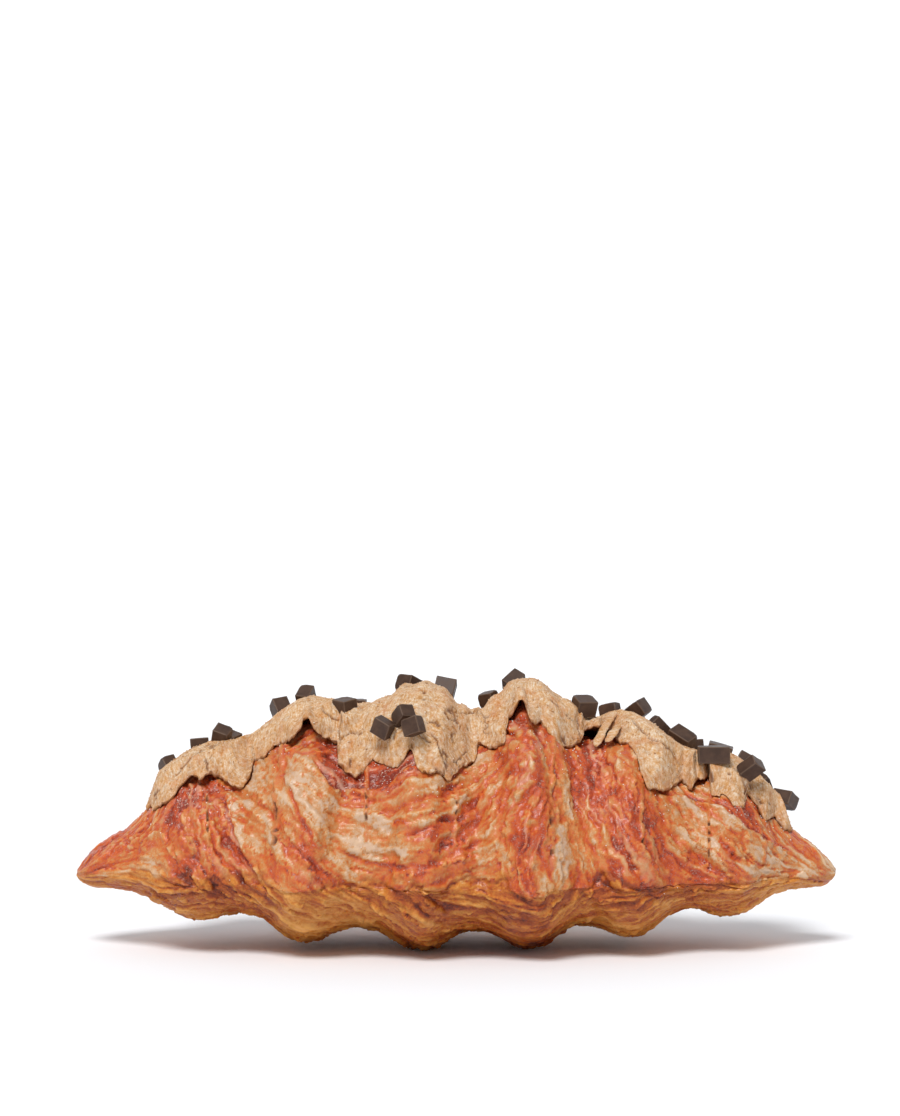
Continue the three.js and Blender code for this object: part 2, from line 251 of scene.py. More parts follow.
# What the baker's hands and the oven did to the crust, read off the photograph. Each spot is its pixel,
# which way the flakes lie there in degrees up from the right, and how much red-brown glaze shows between them,
# from 0 to 1.
spots = [
    (105, 850, 36, 0.62), (110, 872, 4, 0.15), (140, 838, 24, 0.6), (148, 866, -14, 0.12),
    (120, 888, -10, 0.6), (172, 808, 62, 0.62), (166, 850, 112, 0.34), (190, 798, 100, 0.74),
    (197, 838, 106, 0.62), (188, 868, 118, 0.5), (226, 822, 116, 0.76), (232, 856, 128, 0.9),
    (246, 800, 146, 0.16), (256, 838, 128, 0.2), (246, 874, 140, 0.62), (270, 775, 100, 0.16),
    (300, 762, 138, 0.3), (292, 828, 114, 0.42), (316, 862, 126, 0.78), (280, 868, 128, 0.45),
    (308, 742, 42, 0.72), (340, 774, 138, 1), (368, 782, 176, 1), (396, 770, 24, 1),
    (330, 812, 148, 0.08), (350, 846, 164, 0.1), (372, 812, 160, 0.42), (398, 856, 172, 0.16),
    (408, 830, 4, 0.66), (432, 796, 26, 0.22), (444, 832, 30, 0.5), (438, 866, 24, 0.55),
    (380, 872, 172, 0.5), (478, 782, 36, 0.2), (468, 816, 52, 0.56), (486, 850, 14, 0.22),
    (470, 874, 8, 0.5), (520, 748, 122, 0.72), (532, 786, 28, 0.48), (508, 850, 104, 0.1),
    (508, 806, 80, 0.45), (536, 830, 62, 0.68), (534, 872, 104, 0.5), (566, 852, 108, 0.06),
    (562, 776, 112, 0.42), (562, 812, 96, 0.3), (598, 776, 104, 0.8), (600, 826, 110, 0.52),
    (626, 800, 112, 0.66), (636, 846, 118, 0.82), (590, 858, 116, 0.4), (616, 874, 134, 0.86),
    (640, 776, 108, 0.3), (662, 800, 138, 0.26), (664, 836, 122, 0.46), (690, 826, 136, 0.26),
    (692, 862, 150, 0.52), (722, 822, 140, 0.16), (728, 856, 136, 0.55), (746, 808, 140, 0.86),
    (764, 842, 152, 0.2), (786, 828, 140, 0.8), (802, 856, 152, 0.5), (780, 872, 174, 0.12),
    (176, 900, 20, 0.4), (250, 905, 150, 0.45), (310, 912, 146, 0.3), (352, 900, 150, 0.15),
    (424, 922, 136, 0.45), (476, 900, 162, 0.6), (524, 916, 168, 0.7), (566, 902, 44, 0.45),
    (622, 908, 24, 0.35), (700, 898, 12, 0.4), (770, 888, 12, 0.25), (390, 902, 140, 0.35),
]
combing = {
    "spotSpread": 17,                     # pixels that a spot reaches
    "farShare": 1e-4, "farSpread": 30,    # and its faint say beyond them, where no spot is near
    "columnMm": 0.2, "rowDegrees": 0.6,
    "stepMm": 0.35,
    "streaks": [                          # width of a streak and how far it runs either way
        {"wide": 2.6, "runs": 15},
        {"wide": 1.1, "runs": 8},
        {"wide": 0.5, "runs": 3.5},
    ],
}
columns = np.arange(-form["length"] / 2 + 0.3, form["length"] / 2 - 0.2, combing["columnMm"])
rows = np.arange(0, 360, combing["rowDegrees"])


# a combed field where the mesh needs it, between the points of its grid
def fromGrid(field, x, degrees):
    i = np.clip((x - columns[0]) / combing["columnMm"], 0, len(columns) - 1.001)
    j = (degrees % 360) / combing["rowDegrees"]
    i0 = i.astype(int)
    j0 = j.astype(int) % len(rows)
    j1 = (j0 + 1) % len(rows)
    u = i - i0
    v = j - np.floor(j)
    return (
        field[i0, j0] * (1 - u) * (1 - v) + field[i0 + 1, j0] * u * (1 - v)
        + field[i0, j1] * (1 - u) * v + field[i0 + 1, j1] * u * v
    )


# The flakes' direction and the glaze, from the spots. The back, which isn't seen, repeats the front.
def spotFields(points):
    wrapped = points.copy()
    wrapped[points[..., 1] > 0, :2] *= -1
    seen = seenAt(wrapped)
    c, s, glaze, total = [np.zeros(points.shape[:-1]) for _ in range(4)]
    for across, down, lean, shown in spots:
        near = ((seen - np.array([across, down])) ** 2).sum(-1)
        share = np.exp(-near / (2 * combing["spotSpread"] ** 2))
        share = share + combing["farShare"] / (1 + near / combing["farSpread"] ** 2)
        angle = 2 * math.radians(lean)
        c += share * math.cos(angle)
        s += share * math.sin(angle)
        glaze += share * shown
        total += share
    return np.arctan2(s, c) / 2, glaze / total


# Noise drawn out along the flakes' direction into streaks of three widths, and the glaze, on an even grid.
def combCrust():
    x = columns[:, None]
    degrees = rows[None, :]
    points = crustPoint(x, degrees)
    perRow = np.linalg.norm(np.roll(points, -1, 1) - points, axis=-1) / combing["rowDegrees"]
    perColumn = np.linalg.norm(np.gradient(points, combing["columnMm"], axis=0), axis=-1)
    lean, glaze = spotFields(points)
    front = np.where(np.cos(np.radians(degrees)) >= 0, 1.0, -1.0) + 0 * x
    goX = front * np.cos(lean) / perColumn / combing["columnMm"]
    goRow = front * np.sin(lean) / np.maximum(perRow, 0.04) / combing["rowDegrees"]
    grain = np.stack([lumps(points, streak["wide"], 31 + n) for n, streak in enumerate(combing["streaks"])], -1)
    total = grain.copy()
    steps = int(max(streak["runs"] for streak in combing["streaks"]) / combing["stepMm"])

    def gridSpot(i, j):
        return np.clip(np.rint(i).astype(int), 0, len(columns) - 1), np.rint(j).astype(int) % len(rows)

    for way in (1, -1):
        i, j = np.meshgrid(np.arange(float(len(columns))), np.arange(float(len(rows))), indexing="ij")
        lastX = way * goX
        lastRow = way * goRow
        for n in range(1, steps + 1):
            at = gridSpot(i, j)
            nextX = goX[at]
            nextRow = goRow[at]
            turned = np.where(nextX * lastX + nextRow * lastRow < 0, -1.0, 1.0)
            lastX = nextX * turned
            lastRow = nextRow * turned
            i += combing["stepMm"] * lastX
            j += combing["stepMm"] * lastRow
            at = gridSpot(i, j)
            for k, streak in enumerate(combing["streaks"]):
                if n * combing["stepMm"] <= streak["runs"]:
                    total[..., k] += grain[(*at, k)]
    total -= total.mean((0, 1))
    return total / total.std((0, 1)), glaze


streaks, glazeShown = combCrust()
print("crust combed:", streaks.shape)


def linear(colour):
    parts = [int(colour[i:i + 2], 16) / 255 for i in (1, 3, 5)]
    return (*[c / 12.92 if c <= 0.04045 else ((c + 0.055) / 1.055) ** 2.4 for c in parts], 1)


# One node with its settings, its values or links by socket, and a ramp's stops. It gives back one output.
def addNode(tree, kind, inputs=None, out=0, stops=None, **settings):
    made = tree.nodes.new("ShaderNode" + kind)
    for name, value in settings.items():
        setattr(made, name, value)
    for name, value in (inputs or {}).items():
        if isinstance(value, bpy.types.NodeSocket):
            tree.links.new(value, made.inputs[name])
        else:
            made.inputs[name].default_value = value
    if stops:
        ramp = made.color_ramp
        while len(ramp.elements) < len(stops):
            ramp.elements.new(1)
        for element, (place, colour) in zip(ramp.elements, stops):
            element.position = place
            element.color = linear(colour)
    return made.outputs[out] if made.outputs else None


def startMaterial(name):
    material = bpy.data.materials.new(name)
    material.use_nodes = True
    material.node_tree.nodes.clear()
    return material, material.node_tree


# What the mesh holds at each point, and noises given as size in mm, detail and roughness, all by name.
def surfaceFields(tree, held, noises):
    place = addNode(tree, "TexCoord", out="Object")
    fields = {name: addNode(tree, "Attribute", out="Fac", attribute_name=name) for name in held}
    for name, (size, detail, rough) in noises.items():
        fields[name] = addNode(tree, "TexNoise", {
            "Vector": place, "Scale": 1 / (size * mm), "Detail": detail, "Roughness": rough}, out="Fac")
    return fields


# a start and the named fields, each times its strength
def addUp(tree, total, fields, strengths):
    for name, strength in strengths.items():
        total = addNode(tree, "Math", {0: fields[name], 1: strength, 2: total}, operation="MULTIPLY_ADD")
    return total


def smoothMesh(name, points, faces, fields):
    mesh = bpy.data.meshes.new(name)
    mesh.from_pydata((points * mm).tolist(), [], faces)
    mesh.polygons.foreach_set("use_smooth", np.ones(len(mesh.polygons), bool))
    for key, values in fields.items():
        layer = mesh.attributes.new(key, "FLOAT", "POINT")
        layer.data.foreach_set("value", np.asarray(values, np.float32).ravel())
    mesh.update()
    return addObject(name, mesh)


# the numbers of a grid of points whose rows close on themselves, and its quads
def ringGrid(count, around, start=0):
    index = start + np.arange(count * around).reshape(count, around)
    after = np.roll(index, -1, 1)
    return index, np.stack([index[:-1], after[:-1], after[1:], index[1:]], -1).reshape(-1, 4).tolist()


sheet = {
    "from": -73.4, "to": 80.2,
    "thick": 3, "valleyFill": 0.6, "gap": 0.8,             # its thickness, more in valleys, and the air below
    "tent": 2.2, "drape": 0.3,                             # how far it spans the valleys at the front
    "seatReach": 4, "seatHigh": 0.55,                      # dough pressed up round each chunk
    "rimThick": 0.8, "rimGap": 0.12, "rimReach": 13,       # the torn rim, and the degrees over which it thickens
    "backUsual": 139, "backSwing": 8, "backUneven": 5,     # the back edge and its wander, in degrees
    "backEvery": 21,
    "endLength": 7, "endBack": 22,
    "columns": 540, "frontRows": 112, "crestDegrees": 104, "backRows": 34, "innerRows": 22, "edgeRows": 3,
    "ragged": 1.1, "frayed": 0.3,
    "lump": 6.5, "lumpHigh": 0.16, "crumbSize": 1, "crumbHigh": 0.06,
    "crackCell": 7, "crackWide": 0.45, "crackDeep": 0.42,
    "ridge": 100, "spokeRoot": 9, "spokeSpread": 24, "spokeBend": 0.9,
    "fibreWide": 0.75, "fibreLong": 5, "fibreHigh": 0.07, "layerHigh": 0.11,
    "strandWide": 0.3, "strandLong": 1.6,                  # the finest strands, which are only colour
    "curlOver": 1.4, "curlHalfWide": 1.15, "curlHalfThick": 0.45, "curlSteps": 46, "curlAround": 12,
}
# The torn front edge as it hangs in the photograph, left to right, in its pixels.
tornEdge = [
    (136, 812), (142, 813), (149, 806), (153, 810), (163, 804), (172, 797), (179, 787), (186, 777), (193, 774),
    (199, 778), (206, 773), (212, 772), (221, 778), (231, 785), (243, 786), (250, 777), (253, 760), (264, 757),
    (267, 750), (282, 743), (290, 735), (302, 720), (308, 718), (315, 728), (324, 738), (338, 742), (339, 762),
    (346, 773), (357, 776), (365, 768), (372, 760), (381, 765), (397, 766), (404, 757), (410, 750), (417, 763),
    (427, 775), (434, 778), (440, 769), (448, 784), (453, 774), (468, 767), (476, 758), (478, 743), (488, 748),
    (496, 748), (504, 742), (507, 718), (513, 704), (520, 700), (526, 706), (530, 720), (542, 722), (552, 735),
    (563, 744), (572, 748), (579, 742), (583, 741), (586, 731), (594, 726), (601, 727), (607, 730), (613, 736),
    (619, 743), (630, 743), (638, 757), (643, 778), (648, 789), (660, 792), (669, 792), (677, 783), (683, 781),
    (692, 790), (697, 779), (704, 777), (709, 773), (711, 796), (719, 797), (722, 793), (727, 796), (734, 803),
    (745, 807), (748, 793), (757, 803), (767, 821), (775, 817), (786, 829), (792, 831), (797, 828),
]
# where the torn edge has lifted off the crust in an arch
arches = [
    {"at": -60, "half": 4.6, "lift": 2.1},
    {"at": -35.5, "half": 4.6, "lift": 3},
    {"at": 16.2, "half": 3.6, "lift": 2.6},
    {"at": 32.6, "half": 4.6, "lift": 2.8},
    {"at": 57.6, "half": 3, "lift": 1.6},
]
# Splits in the sheet, in pixels: slits, darkened with painted shade, and steps whose upper layer is on the
# path's right-hand side.
splits = [
    {"path": [(172, 778), (181, 767), (192, 756), (206, 747)], "wide": 1.4},
    {"path": [(205, 756), (207, 763), (208, 772)], "wide": 3},
    {"path": [(320, 703), (328, 714), (338, 722), (347, 722)], "wide": 1.8},
    {"path": [(366, 731), (358, 734), (350, 733), (344, 737), (339, 743)], "wide": 1.4, "rise": 0.4},
    {"path": [(350, 756), (351, 768)], "wide": 2},
    {"path": [(396, 728), (394, 742)], "wide": 1.5},
    {"path": [(424, 686), (423, 700), (421, 711)], "wide": 3, "broken": True},
    {"path": [(429, 730), (437, 742), (441, 752), (445, 764), (449, 774)], "wide": 2.6, "rise": 0.5},
    {"path": [(546, 696), (553, 702), (561, 708), (568, 716), (576, 723)], "wide": 1.8, "broken": True},
    {"path": [(577, 716), (580, 724), (578, 738)], "wide": 1.6},
    {"path": [(610, 712), (620, 708)], "wide": 1.6},
    {"path": [(684, 774), (677, 762), (671, 751), (662, 744), (651, 739), (638, 727), (628, 714)],
     "wide": 1.2, "rise": 0.35},
    {"path": [(712, 770), (713, 782)], "wide": 3},
    {"path": [(728, 771), (731, 780)], "wide": 4, "broken": True},
    {"path": [(741, 778), (746, 786), (750, 796)], "wide": 2},
]
# Strips of dough have curled over beside the hole: where each runs, in pixels, and how far it stands off.
curls = [
    {"path": [(624, 712), (616, 720), (609, 730), (602, 740), (595, 748)], "lift": [2.2, 2.1, 1.7, 1.2, 0.6]},
    {"path": [(630, 717), (623, 726), (616, 736), (608, 745)], "lift": [2.1, 1.9, 1.4, 0.8]},
]


def archLift(x):
    lifts = [arch["lift"] * (1 - np.minimum(1, np.abs(x - arch["at"]) / arch["half"]) ** 2) for arch in arches]
    return np.max(lifts, 0)


def fullThickness(x):
    return sheet["thick"] + sheet["valleyFill"] * (1 - crestShare(x))


# how far round the crust the torn edge hangs at each x, found from where it stands in the photograph
def frontEdgeAt(x):
    path = np.array(tornEdge, float)
    step = 0.4
    degrees = np.arange(16, 92, step)
    gridX, gridDegrees = np.meshgrid(x, degrees, indexing="ij")
    over = sheet["rimGap"] + sheet["rimThick"] * 0.6 + archLift(gridX)[..., None]
    seen = seenAt(crustPoint(gridX, gridDegrees) + crustNormal(gridX, gridDegrees) * over)
    past = np.interp(seen[..., 0], path[:, 0], path[:, 1]) - seen[..., 1]
    past[:, -1] = 1
    first = np.argmax(past > 0, 1).clip(1)
    every = np.arange(len(x))
    low, high = past[every, first - 1], past[every, first]
    share = np.clip(-low / np.where(high - low == 0, 1, high - low), 0, 1)
    return degrees[first - 1] + share * step


def backEdgeAt(x):
    turn = 2 * np.pi * x / sheet["backEvery"]
    swing = sheet["backSwing"] * (np.sin(turn) + 0.45 * np.sin(2.3 * turn + 1))
    nearEnd = 1 - smooth(np.minimum(x - sheet["from"], sheet["to"] - x), 0, sheet["endLength"])
    return sheet["backUsual"] + swing - sheet["endBack"] * nearEnd


pastry = {
    "above": [(0, "#c6a58a"), (0.14, "#c29368"), (0.28, "#c07d46"), (0.46, "#c2652b"), (0.62, "#bb4c1d"),
              (0.82, "#a23919"), (1, "#7c2713")],
    # the underside is darker and more amber, partly its baked colour and partly a painted shade
    "below": [(0, "#cf8f49"), (0.3, "#be7429"), (0.6, "#a54f17"), (0.85, "#84330c"), (1, "#632008")],
    # the first tint here is a painted highlight on the glaze, the second a painted highlight on raised flakes,
    # the third a painted shade in the knife's pits
    "glintTint": "#c9a18d", "risen": "#fff1d8", "pit": "#41190b",
    "noises": {"blister": (0.4, 3, 0.62), "tear": (1.5, 5, 0.62), "stain": (4, 4, 0.62)},
    "mottle": {"blister": 0.6, "tear": 0.65, "stain": 0.5, "strand": -0.5},   # how each breaks up the glaze
    "mottleMean": 0.63,
    # the painted glint, pale pink specks that stand for the glaze's highlights, follows these: where each begins
    # and is full, and how much glint it then allows
    "paintedGlint": {"blister": (0.5, 0.6, 0.75), "tear": (0.42, 0.62, 1), "strand": (0.56, 0.76, 0.65),
              "glaze": (0.3, 0.85, 1), "under": (1, 0, 1)},
    "dryRoughness": 0.52, "glazedRoughness": 0.3,
    "bumpMm": 0.2, "bump": {"tear": 1.2},
}


# Laminated dough, brushed with egg and baked. The dry flakes scatter the light and look matt and pale. Between
# them the egg has set to a red-brown varnish with fine blisters, and pale pink specks on it are a painted
# highlight of its gloss. Raised flakes get a painted highlight, the knife's pits a painted shade, and the
# underside is darker and more amber, partly its baked colour and partly a painted shade. IOR 1.45 is starch
# under dried egg.
# The real blisters are finer still, and are drawn 0.4 mm across so that they show.
def bakedPastry():
    material, tree = startMaterial("egg_washed_baked_pastry")
    fields = surfaceFields(tree, ("glaze", "under", "rise", "pitShade", "strand"), pastry["noises"])
    shown = addUp(tree, fields["glaze"], fields, pastry["mottle"])
    shown = addNode(tree, "Math", {0: shown, 1: pastry["mottleMean"]}, operation="SUBTRACT")
    above, below = [
        addNode(tree, "ValToRGB", {"Fac": shown}, stops=pastry[part]) for part in ("above", "below")]
    colour = addNode(tree, "Mix", {"Factor": fields["under"], 6: above, 7: below}, 2, data_type="RGBA")
    speck, torn, stroke, varnished, upper = [
        addNode(tree, "MapRange", {"Value": fields[name], "From Min": low, "From Max": high, "To Max": most})
        for name, (low, high, most) in pastry["paintedGlint"].items()]
    # the painted glint: pale pink specks on the glaze that stand for its highlights
    paintedGlint = speck
    for share, how in ((torn, "MULTIPLY"), (stroke, "MAXIMUM"), (varnished, "MULTIPLY"), (upper, "MULTIPLY")):
        paintedGlint = addNode(tree, "Math", {0: paintedGlint, 1: share}, operation=how)
    # laid over in turn: a painted glint, a painted highlight on raised flakes and a painted shade in the pits
    for share, tint, how in (
            (paintedGlint, "glintTint", "MIX"), (fields["rise"], "risen", "SOFT_LIGHT"),
            (fields["pitShade"], "pit", "MIX")):
        colour = addNode(tree, "Mix", {
            "Factor": share, 6: colour, 7: linear(pastry[tint])}, 2, data_type="RGBA", blend_type=how)
    rough = addNode(tree, "MapRange", {
        "Value": shown, "To Min": pastry["dryRoughness"], "To Max": pastry["glazedRoughness"]})
    height = addUp(tree, fields["blister"], fields, pastry["bump"])
    bump = addNode(tree, "Bump", {"Height": height, "Strength": 0.7, "Distance": pastry["bumpMm"] * mm})
    shader = addNode(tree, "BsdfPrincipled", {
        "Base Color": colour, "Roughness": rough, "IOR": 1.45, "Normal": bump,
        "Specular IOR Level": 0.35, "Coat Weight": 0.2, "Coat Roughness": 0.18})
    addNode(tree, "OutputMaterial", {"Surface": shader})
    return material


crust = {
    "columns": 630,
    "crowding": 0.3,             # how much closer the columns stand at the tips
    "lastColumn": 0.998,
    "bands": [(-80, 76, 0.7), (76, 126, 5), (126, 254, 1.8), (254, 280, 2.6)],   # from, to and step in degrees
    "flakeStep": 0.34,           # mm from one torn layer to the next
    "flakesPerLevel": 1.15,
    "blotchHigh": 0.28, "middleHigh": 0.12, "fineHigh": 0.06,
    "blotch": 8, "streakGlaze": 0.22,
    "crinkle": 2.6, "crinkleBy": 0.9,     # the streaks are bent by this much, in lumps of this size
    "creaseHigh": 3, "creaseDip": 4.5,    # degrees: where the flank turns under, and how it sags on a crest
    "creaseLip": 0.5, "creaseWander": 3.2,
    "plateHigh": 0.22, "plateStrength": 0.82,
    "weltHigh": 0.38, "weltGlaze": 0.42,
    "pitDeep": 0.9, "pitHalfWide": 1.2, "pitShade": 0.92,      # the half width is in pixels
}
flakes = {
    "count": 3000, "seed": 21,
    "halfLong": (1.5, 4.8), "halfWide": (0.6, 2.1),
    "thick": (0.18, 0.65),
    "tone": (-0.32, 0.3),        # how much redder or paler one flake is than its place
    "teeth": 1.4, "toothDepth": 0.55,
    "squareness": 1.6,
}
# Torn layers: each path runs in the photograph's pixels with the upper layer on its right-hand side.
flaps = [
    {"path": [(306, 752), (322, 775), (334, 790), (352, 789), (368, 792), (390, 783), (405, 771), (422, 762)],
     "rise": 1.0, "fade": 5},
    {"path": [(324, 856), (312, 838), (300, 812), (290, 785), (283, 764)], "rise": 0.8, "fade": 2.4},
    {"path": [(412, 866), (392, 864), (362, 858), (336, 845)], "rise": 0.7, "fade": 6},
    {"path": [(655, 790), (690, 799), (722, 806), (745, 826), (770, 842), (802, 858)], "rise": 0.7, "fade": 4},
    {"path": [(262, 880), (242, 850), (232, 822), (222, 792)], "rise": 0.6, "fade": 5},
    {"path": [(552, 882), (553, 850), (560, 834)], "rise": 0.6, "fade": 4},
    {"path": [(520, 876), (519, 850), (510, 832)], "rise": -0.5, "fade": 4},
]
# Scores of the knife, in pixels: a thin welt with pits along it where the blade went through, the pits
# darkened with a painted shade.
scores = [
    {"path": [(207, 792), (208, 856)], "wide": 2.5, "pits": [0.1, 0.38, 0.45, 0.6]},
    {"path": [(283, 750), (277, 790), (276, 846)], "wide": 4.5, "pits": [0.58, 0.63, 0.68, 0.84, 0.95]},
    {"path": [(367, 766), (367, 842)], "wide": 4, "pits": [0.42, 0.55, 0.68]},
    {"path": [(457, 786), (456, 846)], "wide": 3, "pits": [0.28, 0.44]},
    {"path": [(552, 735), (553, 866)], "wide": 2.5, "pits": [0.66, 0.9]},
    {"path": [(643, 748), (643, 852)], "wide": 4, "pits": [0.9]},
    {"path": [(709, 800), (709, 858)], "wide": 3, "pits": [0.42, 0.56, 0.7, 0.92]},
    {"path": [(761, 826), (763, 864)], "wide": 3, "pits": [0.3]},
]
# Pale blisters stand close together over the redder glaze here: middle and half sizes in pixels.
blistered = [
    {"at": (522, 776), "half": (32, 70), "size": 3.2}, {"at": (222, 806), "half": (26, 30), "size": 2},
    {"at": (300, 740), "half": (34, 20), "size": 2.2}, {"at": (118, 842), "half": (34, 22), "size": 2},
]


# Lays torn flakes over one another, each along the comb's direction where it lies. One long side of a flake
# has sprung up and the other still holds.
def layFlakes(skin, base):
    draw = np.random.default_rng(flakes["seed"])
    lift, glaze, rise = skin["lift"], skin["glaze"], skin["rise"]
    alongX = np.gradient(base, axis=0)
    around = (np.roll(base, -1, 1) - np.roll(base, 1, 1)) / 2
    area = np.linalg.norm(np.cross(alongX, around), axis=-1).ravel()
    chosen = draw.choice(area.size, flakes["count"], p=area / area.sum())
    columnAt, rowAt = np.unravel_index(chosen, base.shape[:2])
    lean, wanted = spotFields(base[columnAt, rowAt])
    teeth = roughness(base, flakes["teeth"], 81) * flakes["toothDepth"]
    for n in range(flakes["count"]):
        i, j = columnAt[n], rowAt[n]
        halfLong, halfWide, thick, shift = [
            draw.uniform(*flakes[part]) for part in ("halfLong", "halfWide", "thick", "tone")]
        sprung = draw.choice([-1, 1])
        reach = halfLong * 1.3
        wide, high = [int(reach / max(np.linalg.norm(way[i, j]), 0.12)) + 1 for way in (alongX, around)]
        own = np.ix_(np.arange(max(0, i - wide), min(base.shape[0], i + wide + 1)),
                     np.unique(np.arange(j - high, j + high + 1) % base.shape[1]))
        apart = base[own] - base[i, j]
        ahead = math.cos(lean[n]) * unit(alongX[i, j]) + math.sin(lean[n]) * unit(around[i, j])
        across = np.cross(unit(np.cross(alongX[i, j], around[i, j])), ahead)
        u = apart @ ahead / halfLong
        v = apart @ across / halfWide * sprung
        deep = np.linalg.norm(apart, axis=-1) < reach
        r = np.abs(u) ** flakes["squareness"] + np.abs(v) ** flakes["squareness"] + teeth[own]
        cover = smooth(1 - r, 0, 0.3) * deep
        edge = smooth(v, 0.1, 0.9)
        lift[own] = blend(lift[own], 0.75 * lift[own] + thick * (0.15 + 0.85 * edge), cover)
        # the sprung side is lighter as a painted highlight, and a thin line just beyond its edge is darker as a
        # painted shadow
        glaze[own] = blend(glaze[own], wanted[n] + shift - 0.22 * edge, 0.72 * cover)
        glaze[own] += 0.3 * smooth(r, 0.9, 1.05) * smooth(1.35 - r, 0, 0.3) * edge * deep
        rise[own] = blend(rise[own], 0.5 * edge, 0.7 * cover)


def raiseBlisters(skin, base, seen, front, crinkle, blotch, middle):
    bent = base + 0.9 * np.stack([crinkle[0], crinkle[1], crinkle[0]], -1)
    for patch in blistered:
        away = np.hypot(*((seen - np.array(patch["at"])) / np.array(patch["half"])).transpose(2, 0, 1))
        zone = smooth(1.15 - away + 0.35 * blotch, 0, 0.6) * front * smooth(crinkle[1], -1.2, -0.2)
        plate = smooth(cellEdges(bent, patch["size"], 66), 0.25, patch["size"] * 0.32)
        plate = plate * smooth(crinkle[0] + 0.3 * middle, -1, 0.1)
        paler = 0.72 - 0.64 * plate + 0.06 * middle
        skin["glaze"] = blend(skin["glaze"], paler, crust["plateStrength"] * zone)
        skin["lift"] += crust["plateHigh"] * plate * zone


def tearFlaps(skin, seen, front, crinkle):
    for flap in flaps:
        apart, along = fromPath(seen, flap["path"])
        apart = apart * photograph["frontPixel"] + 0.5 * crinkle[0]
        ends = tapered(along, 0, 0.15) * front
        up = smooth(apart, -0.15, 0.35) * np.exp(-np.maximum(apart, 0) / flap["fade"])
        skin["lift"] += flap["rise"] * up * ends
        skin["glaze"] -= 0.3 * up * ends * np.sign(flap["rise"])
        # a painted shadow: the glaze is redder in a thin band just below the raised layer's edge
        skin["glaze"] += 0.45 * smooth(apart, -1.6, -0.2) * smooth(-apart, -0.25, 0) * ends


def cutScores(skin, seen, front, crinkle):
    for score in scores:
        apart, along = fromPath(seen, score["path"])
        inside = (along > 0) & (along < 1)
        welt = smooth(score["wide"] / 2 - np.abs(apart + 0.6 * crinkle[0]), -0.5, 0.6) * inside * front
        skin["lift"] += crust["weltHigh"] * welt
        skin["glaze"] = blend(skin["glaze"], crust["weltGlaze"], 0.95 * welt)
        skin["strand"] = blend(skin["strand"], 0.66, 0.8 * welt)
        length = np.linalg.norm(np.subtract(score["path"][-1], score["path"][0]))
        for pit in score["pits"]:
            halfLong = 2 + 3 * (pit * 7.3 % 1)     # pixels, another for each pit
            near = np.hypot(apart / crust["pitHalfWide"], (along - pit) * length / halfLong)
            hole = smooth(1.25 - near, 0, 0.7) * inside * front
            skin["lift"] -= crust["pitDeep"] * hole
            # the pit is darkened with a painted shade
            skin["pitShade"] = np.maximum(skin["pitShade"], crust["pitShade"] * hole)


# The flank ends in a lip, and below it the crust turns under.
def turnUnder(skin, x, degrees, base, slim, crinkle):
    crease = crust["creaseHigh"] - crust["creaseDip"] * crestShare(x)
    behind = np.where(degrees > 90, 180 - degrees, degrees)     # the back's own height above the crease
    over = (behind - crease) * (0.3 + 0.33 * slim) + 0.5 * crinkle[1]
    over += crust["creaseWander"] * roughness(base, 9, 75)
    lip = smooth(over, -0.5, 0.2) * np.exp(-np.maximum(over, 0) / 4)
    lip -= 0.5 * smooth(-over, -0.3, 0.6) * np.exp(-np.maximum(-over, 0) / 3)
    skin["lift"] += crust["creaseLip"] * lip * slim
    # the underside share, which gets the darker amber colour: partly baked colour, partly a painted shade
    skin["under"] = smooth(-over - 1.6 * crinkle[0], -2.2, 2.2)


# how far each point stands off the bare crust, and what the material needs to know there
def crustSkin(x, degrees, base):
    crinkle = [crust["crinkleBy"] * roughness(base, crust["crinkle"], 61 + k) for k in range(2)]
    bentX = np.clip(x + crinkle[0], columns[0], columns[-1])
    bentDegrees = degrees + crinkle[1] * 1.4
    wide, middle, fine = [fromGrid(streaks[..., k], bentX, bentDegrees) for k in range(3)]
    wanted = fromGrid(glazeShown, x, degrees)
    slim = sectionAt(x)[0]
    blotch = roughness(base, crust["blotch"], 71)
    layer = (0.55 * wide + 0.3 * middle + 0.9 * blotch) * crust["flakesPerLevel"]
    tread = np.floor(layer)
    signal = 0.32 * wide + 0.3 * middle + 0.3 * fine + 0.75 * blotch
    skin = {
        "lift": crust["flakeStep"] * (tread + smooth(layer - tread, 0.7, 1)) + crust["blotchHigh"] * blotch,
        "glaze": wanted - crust["streakGlaze"] * signal,
        "under": None,
        # a painted highlight: the higher streaks and lumps are lightened in soft light
        "rise": 0.5 * smooth(signal, 0.2, 2.2),
        "pitShade": np.zeros_like(x),
        "strand": np.clip(0.5 + (0.1 * middle + 0.18 * fine) * (0.25 + 0.75 * wanted), 0, 1),
    }
    layFlakes(skin, base)
    skin["lift"] += crust["middleHigh"] * middle + crust["fineHigh"] * fine
    skin["glaze"] -= 0.05 * middle + 0.05 * fine
    skin["lift"] *= 0.35 + 0.65 * smooth(slim, 0, 0.5)
    seen = seenAt(base)
    front = smooth(-base[..., 1], 2, 8)
    raiseBlisters(skin, base, seen, front, crinkle, blotch, middle)
    tearFlaps(skin, seen, front, crinkle)
    cutScores(skin, seen, front, crinkle)
    turnUnder(skin, x, degrees, base, slim, crinkle)
    skin["glaze"] = np.clip(0.08 + 0.88 * skin["glaze"], 0, 1)
    return skin


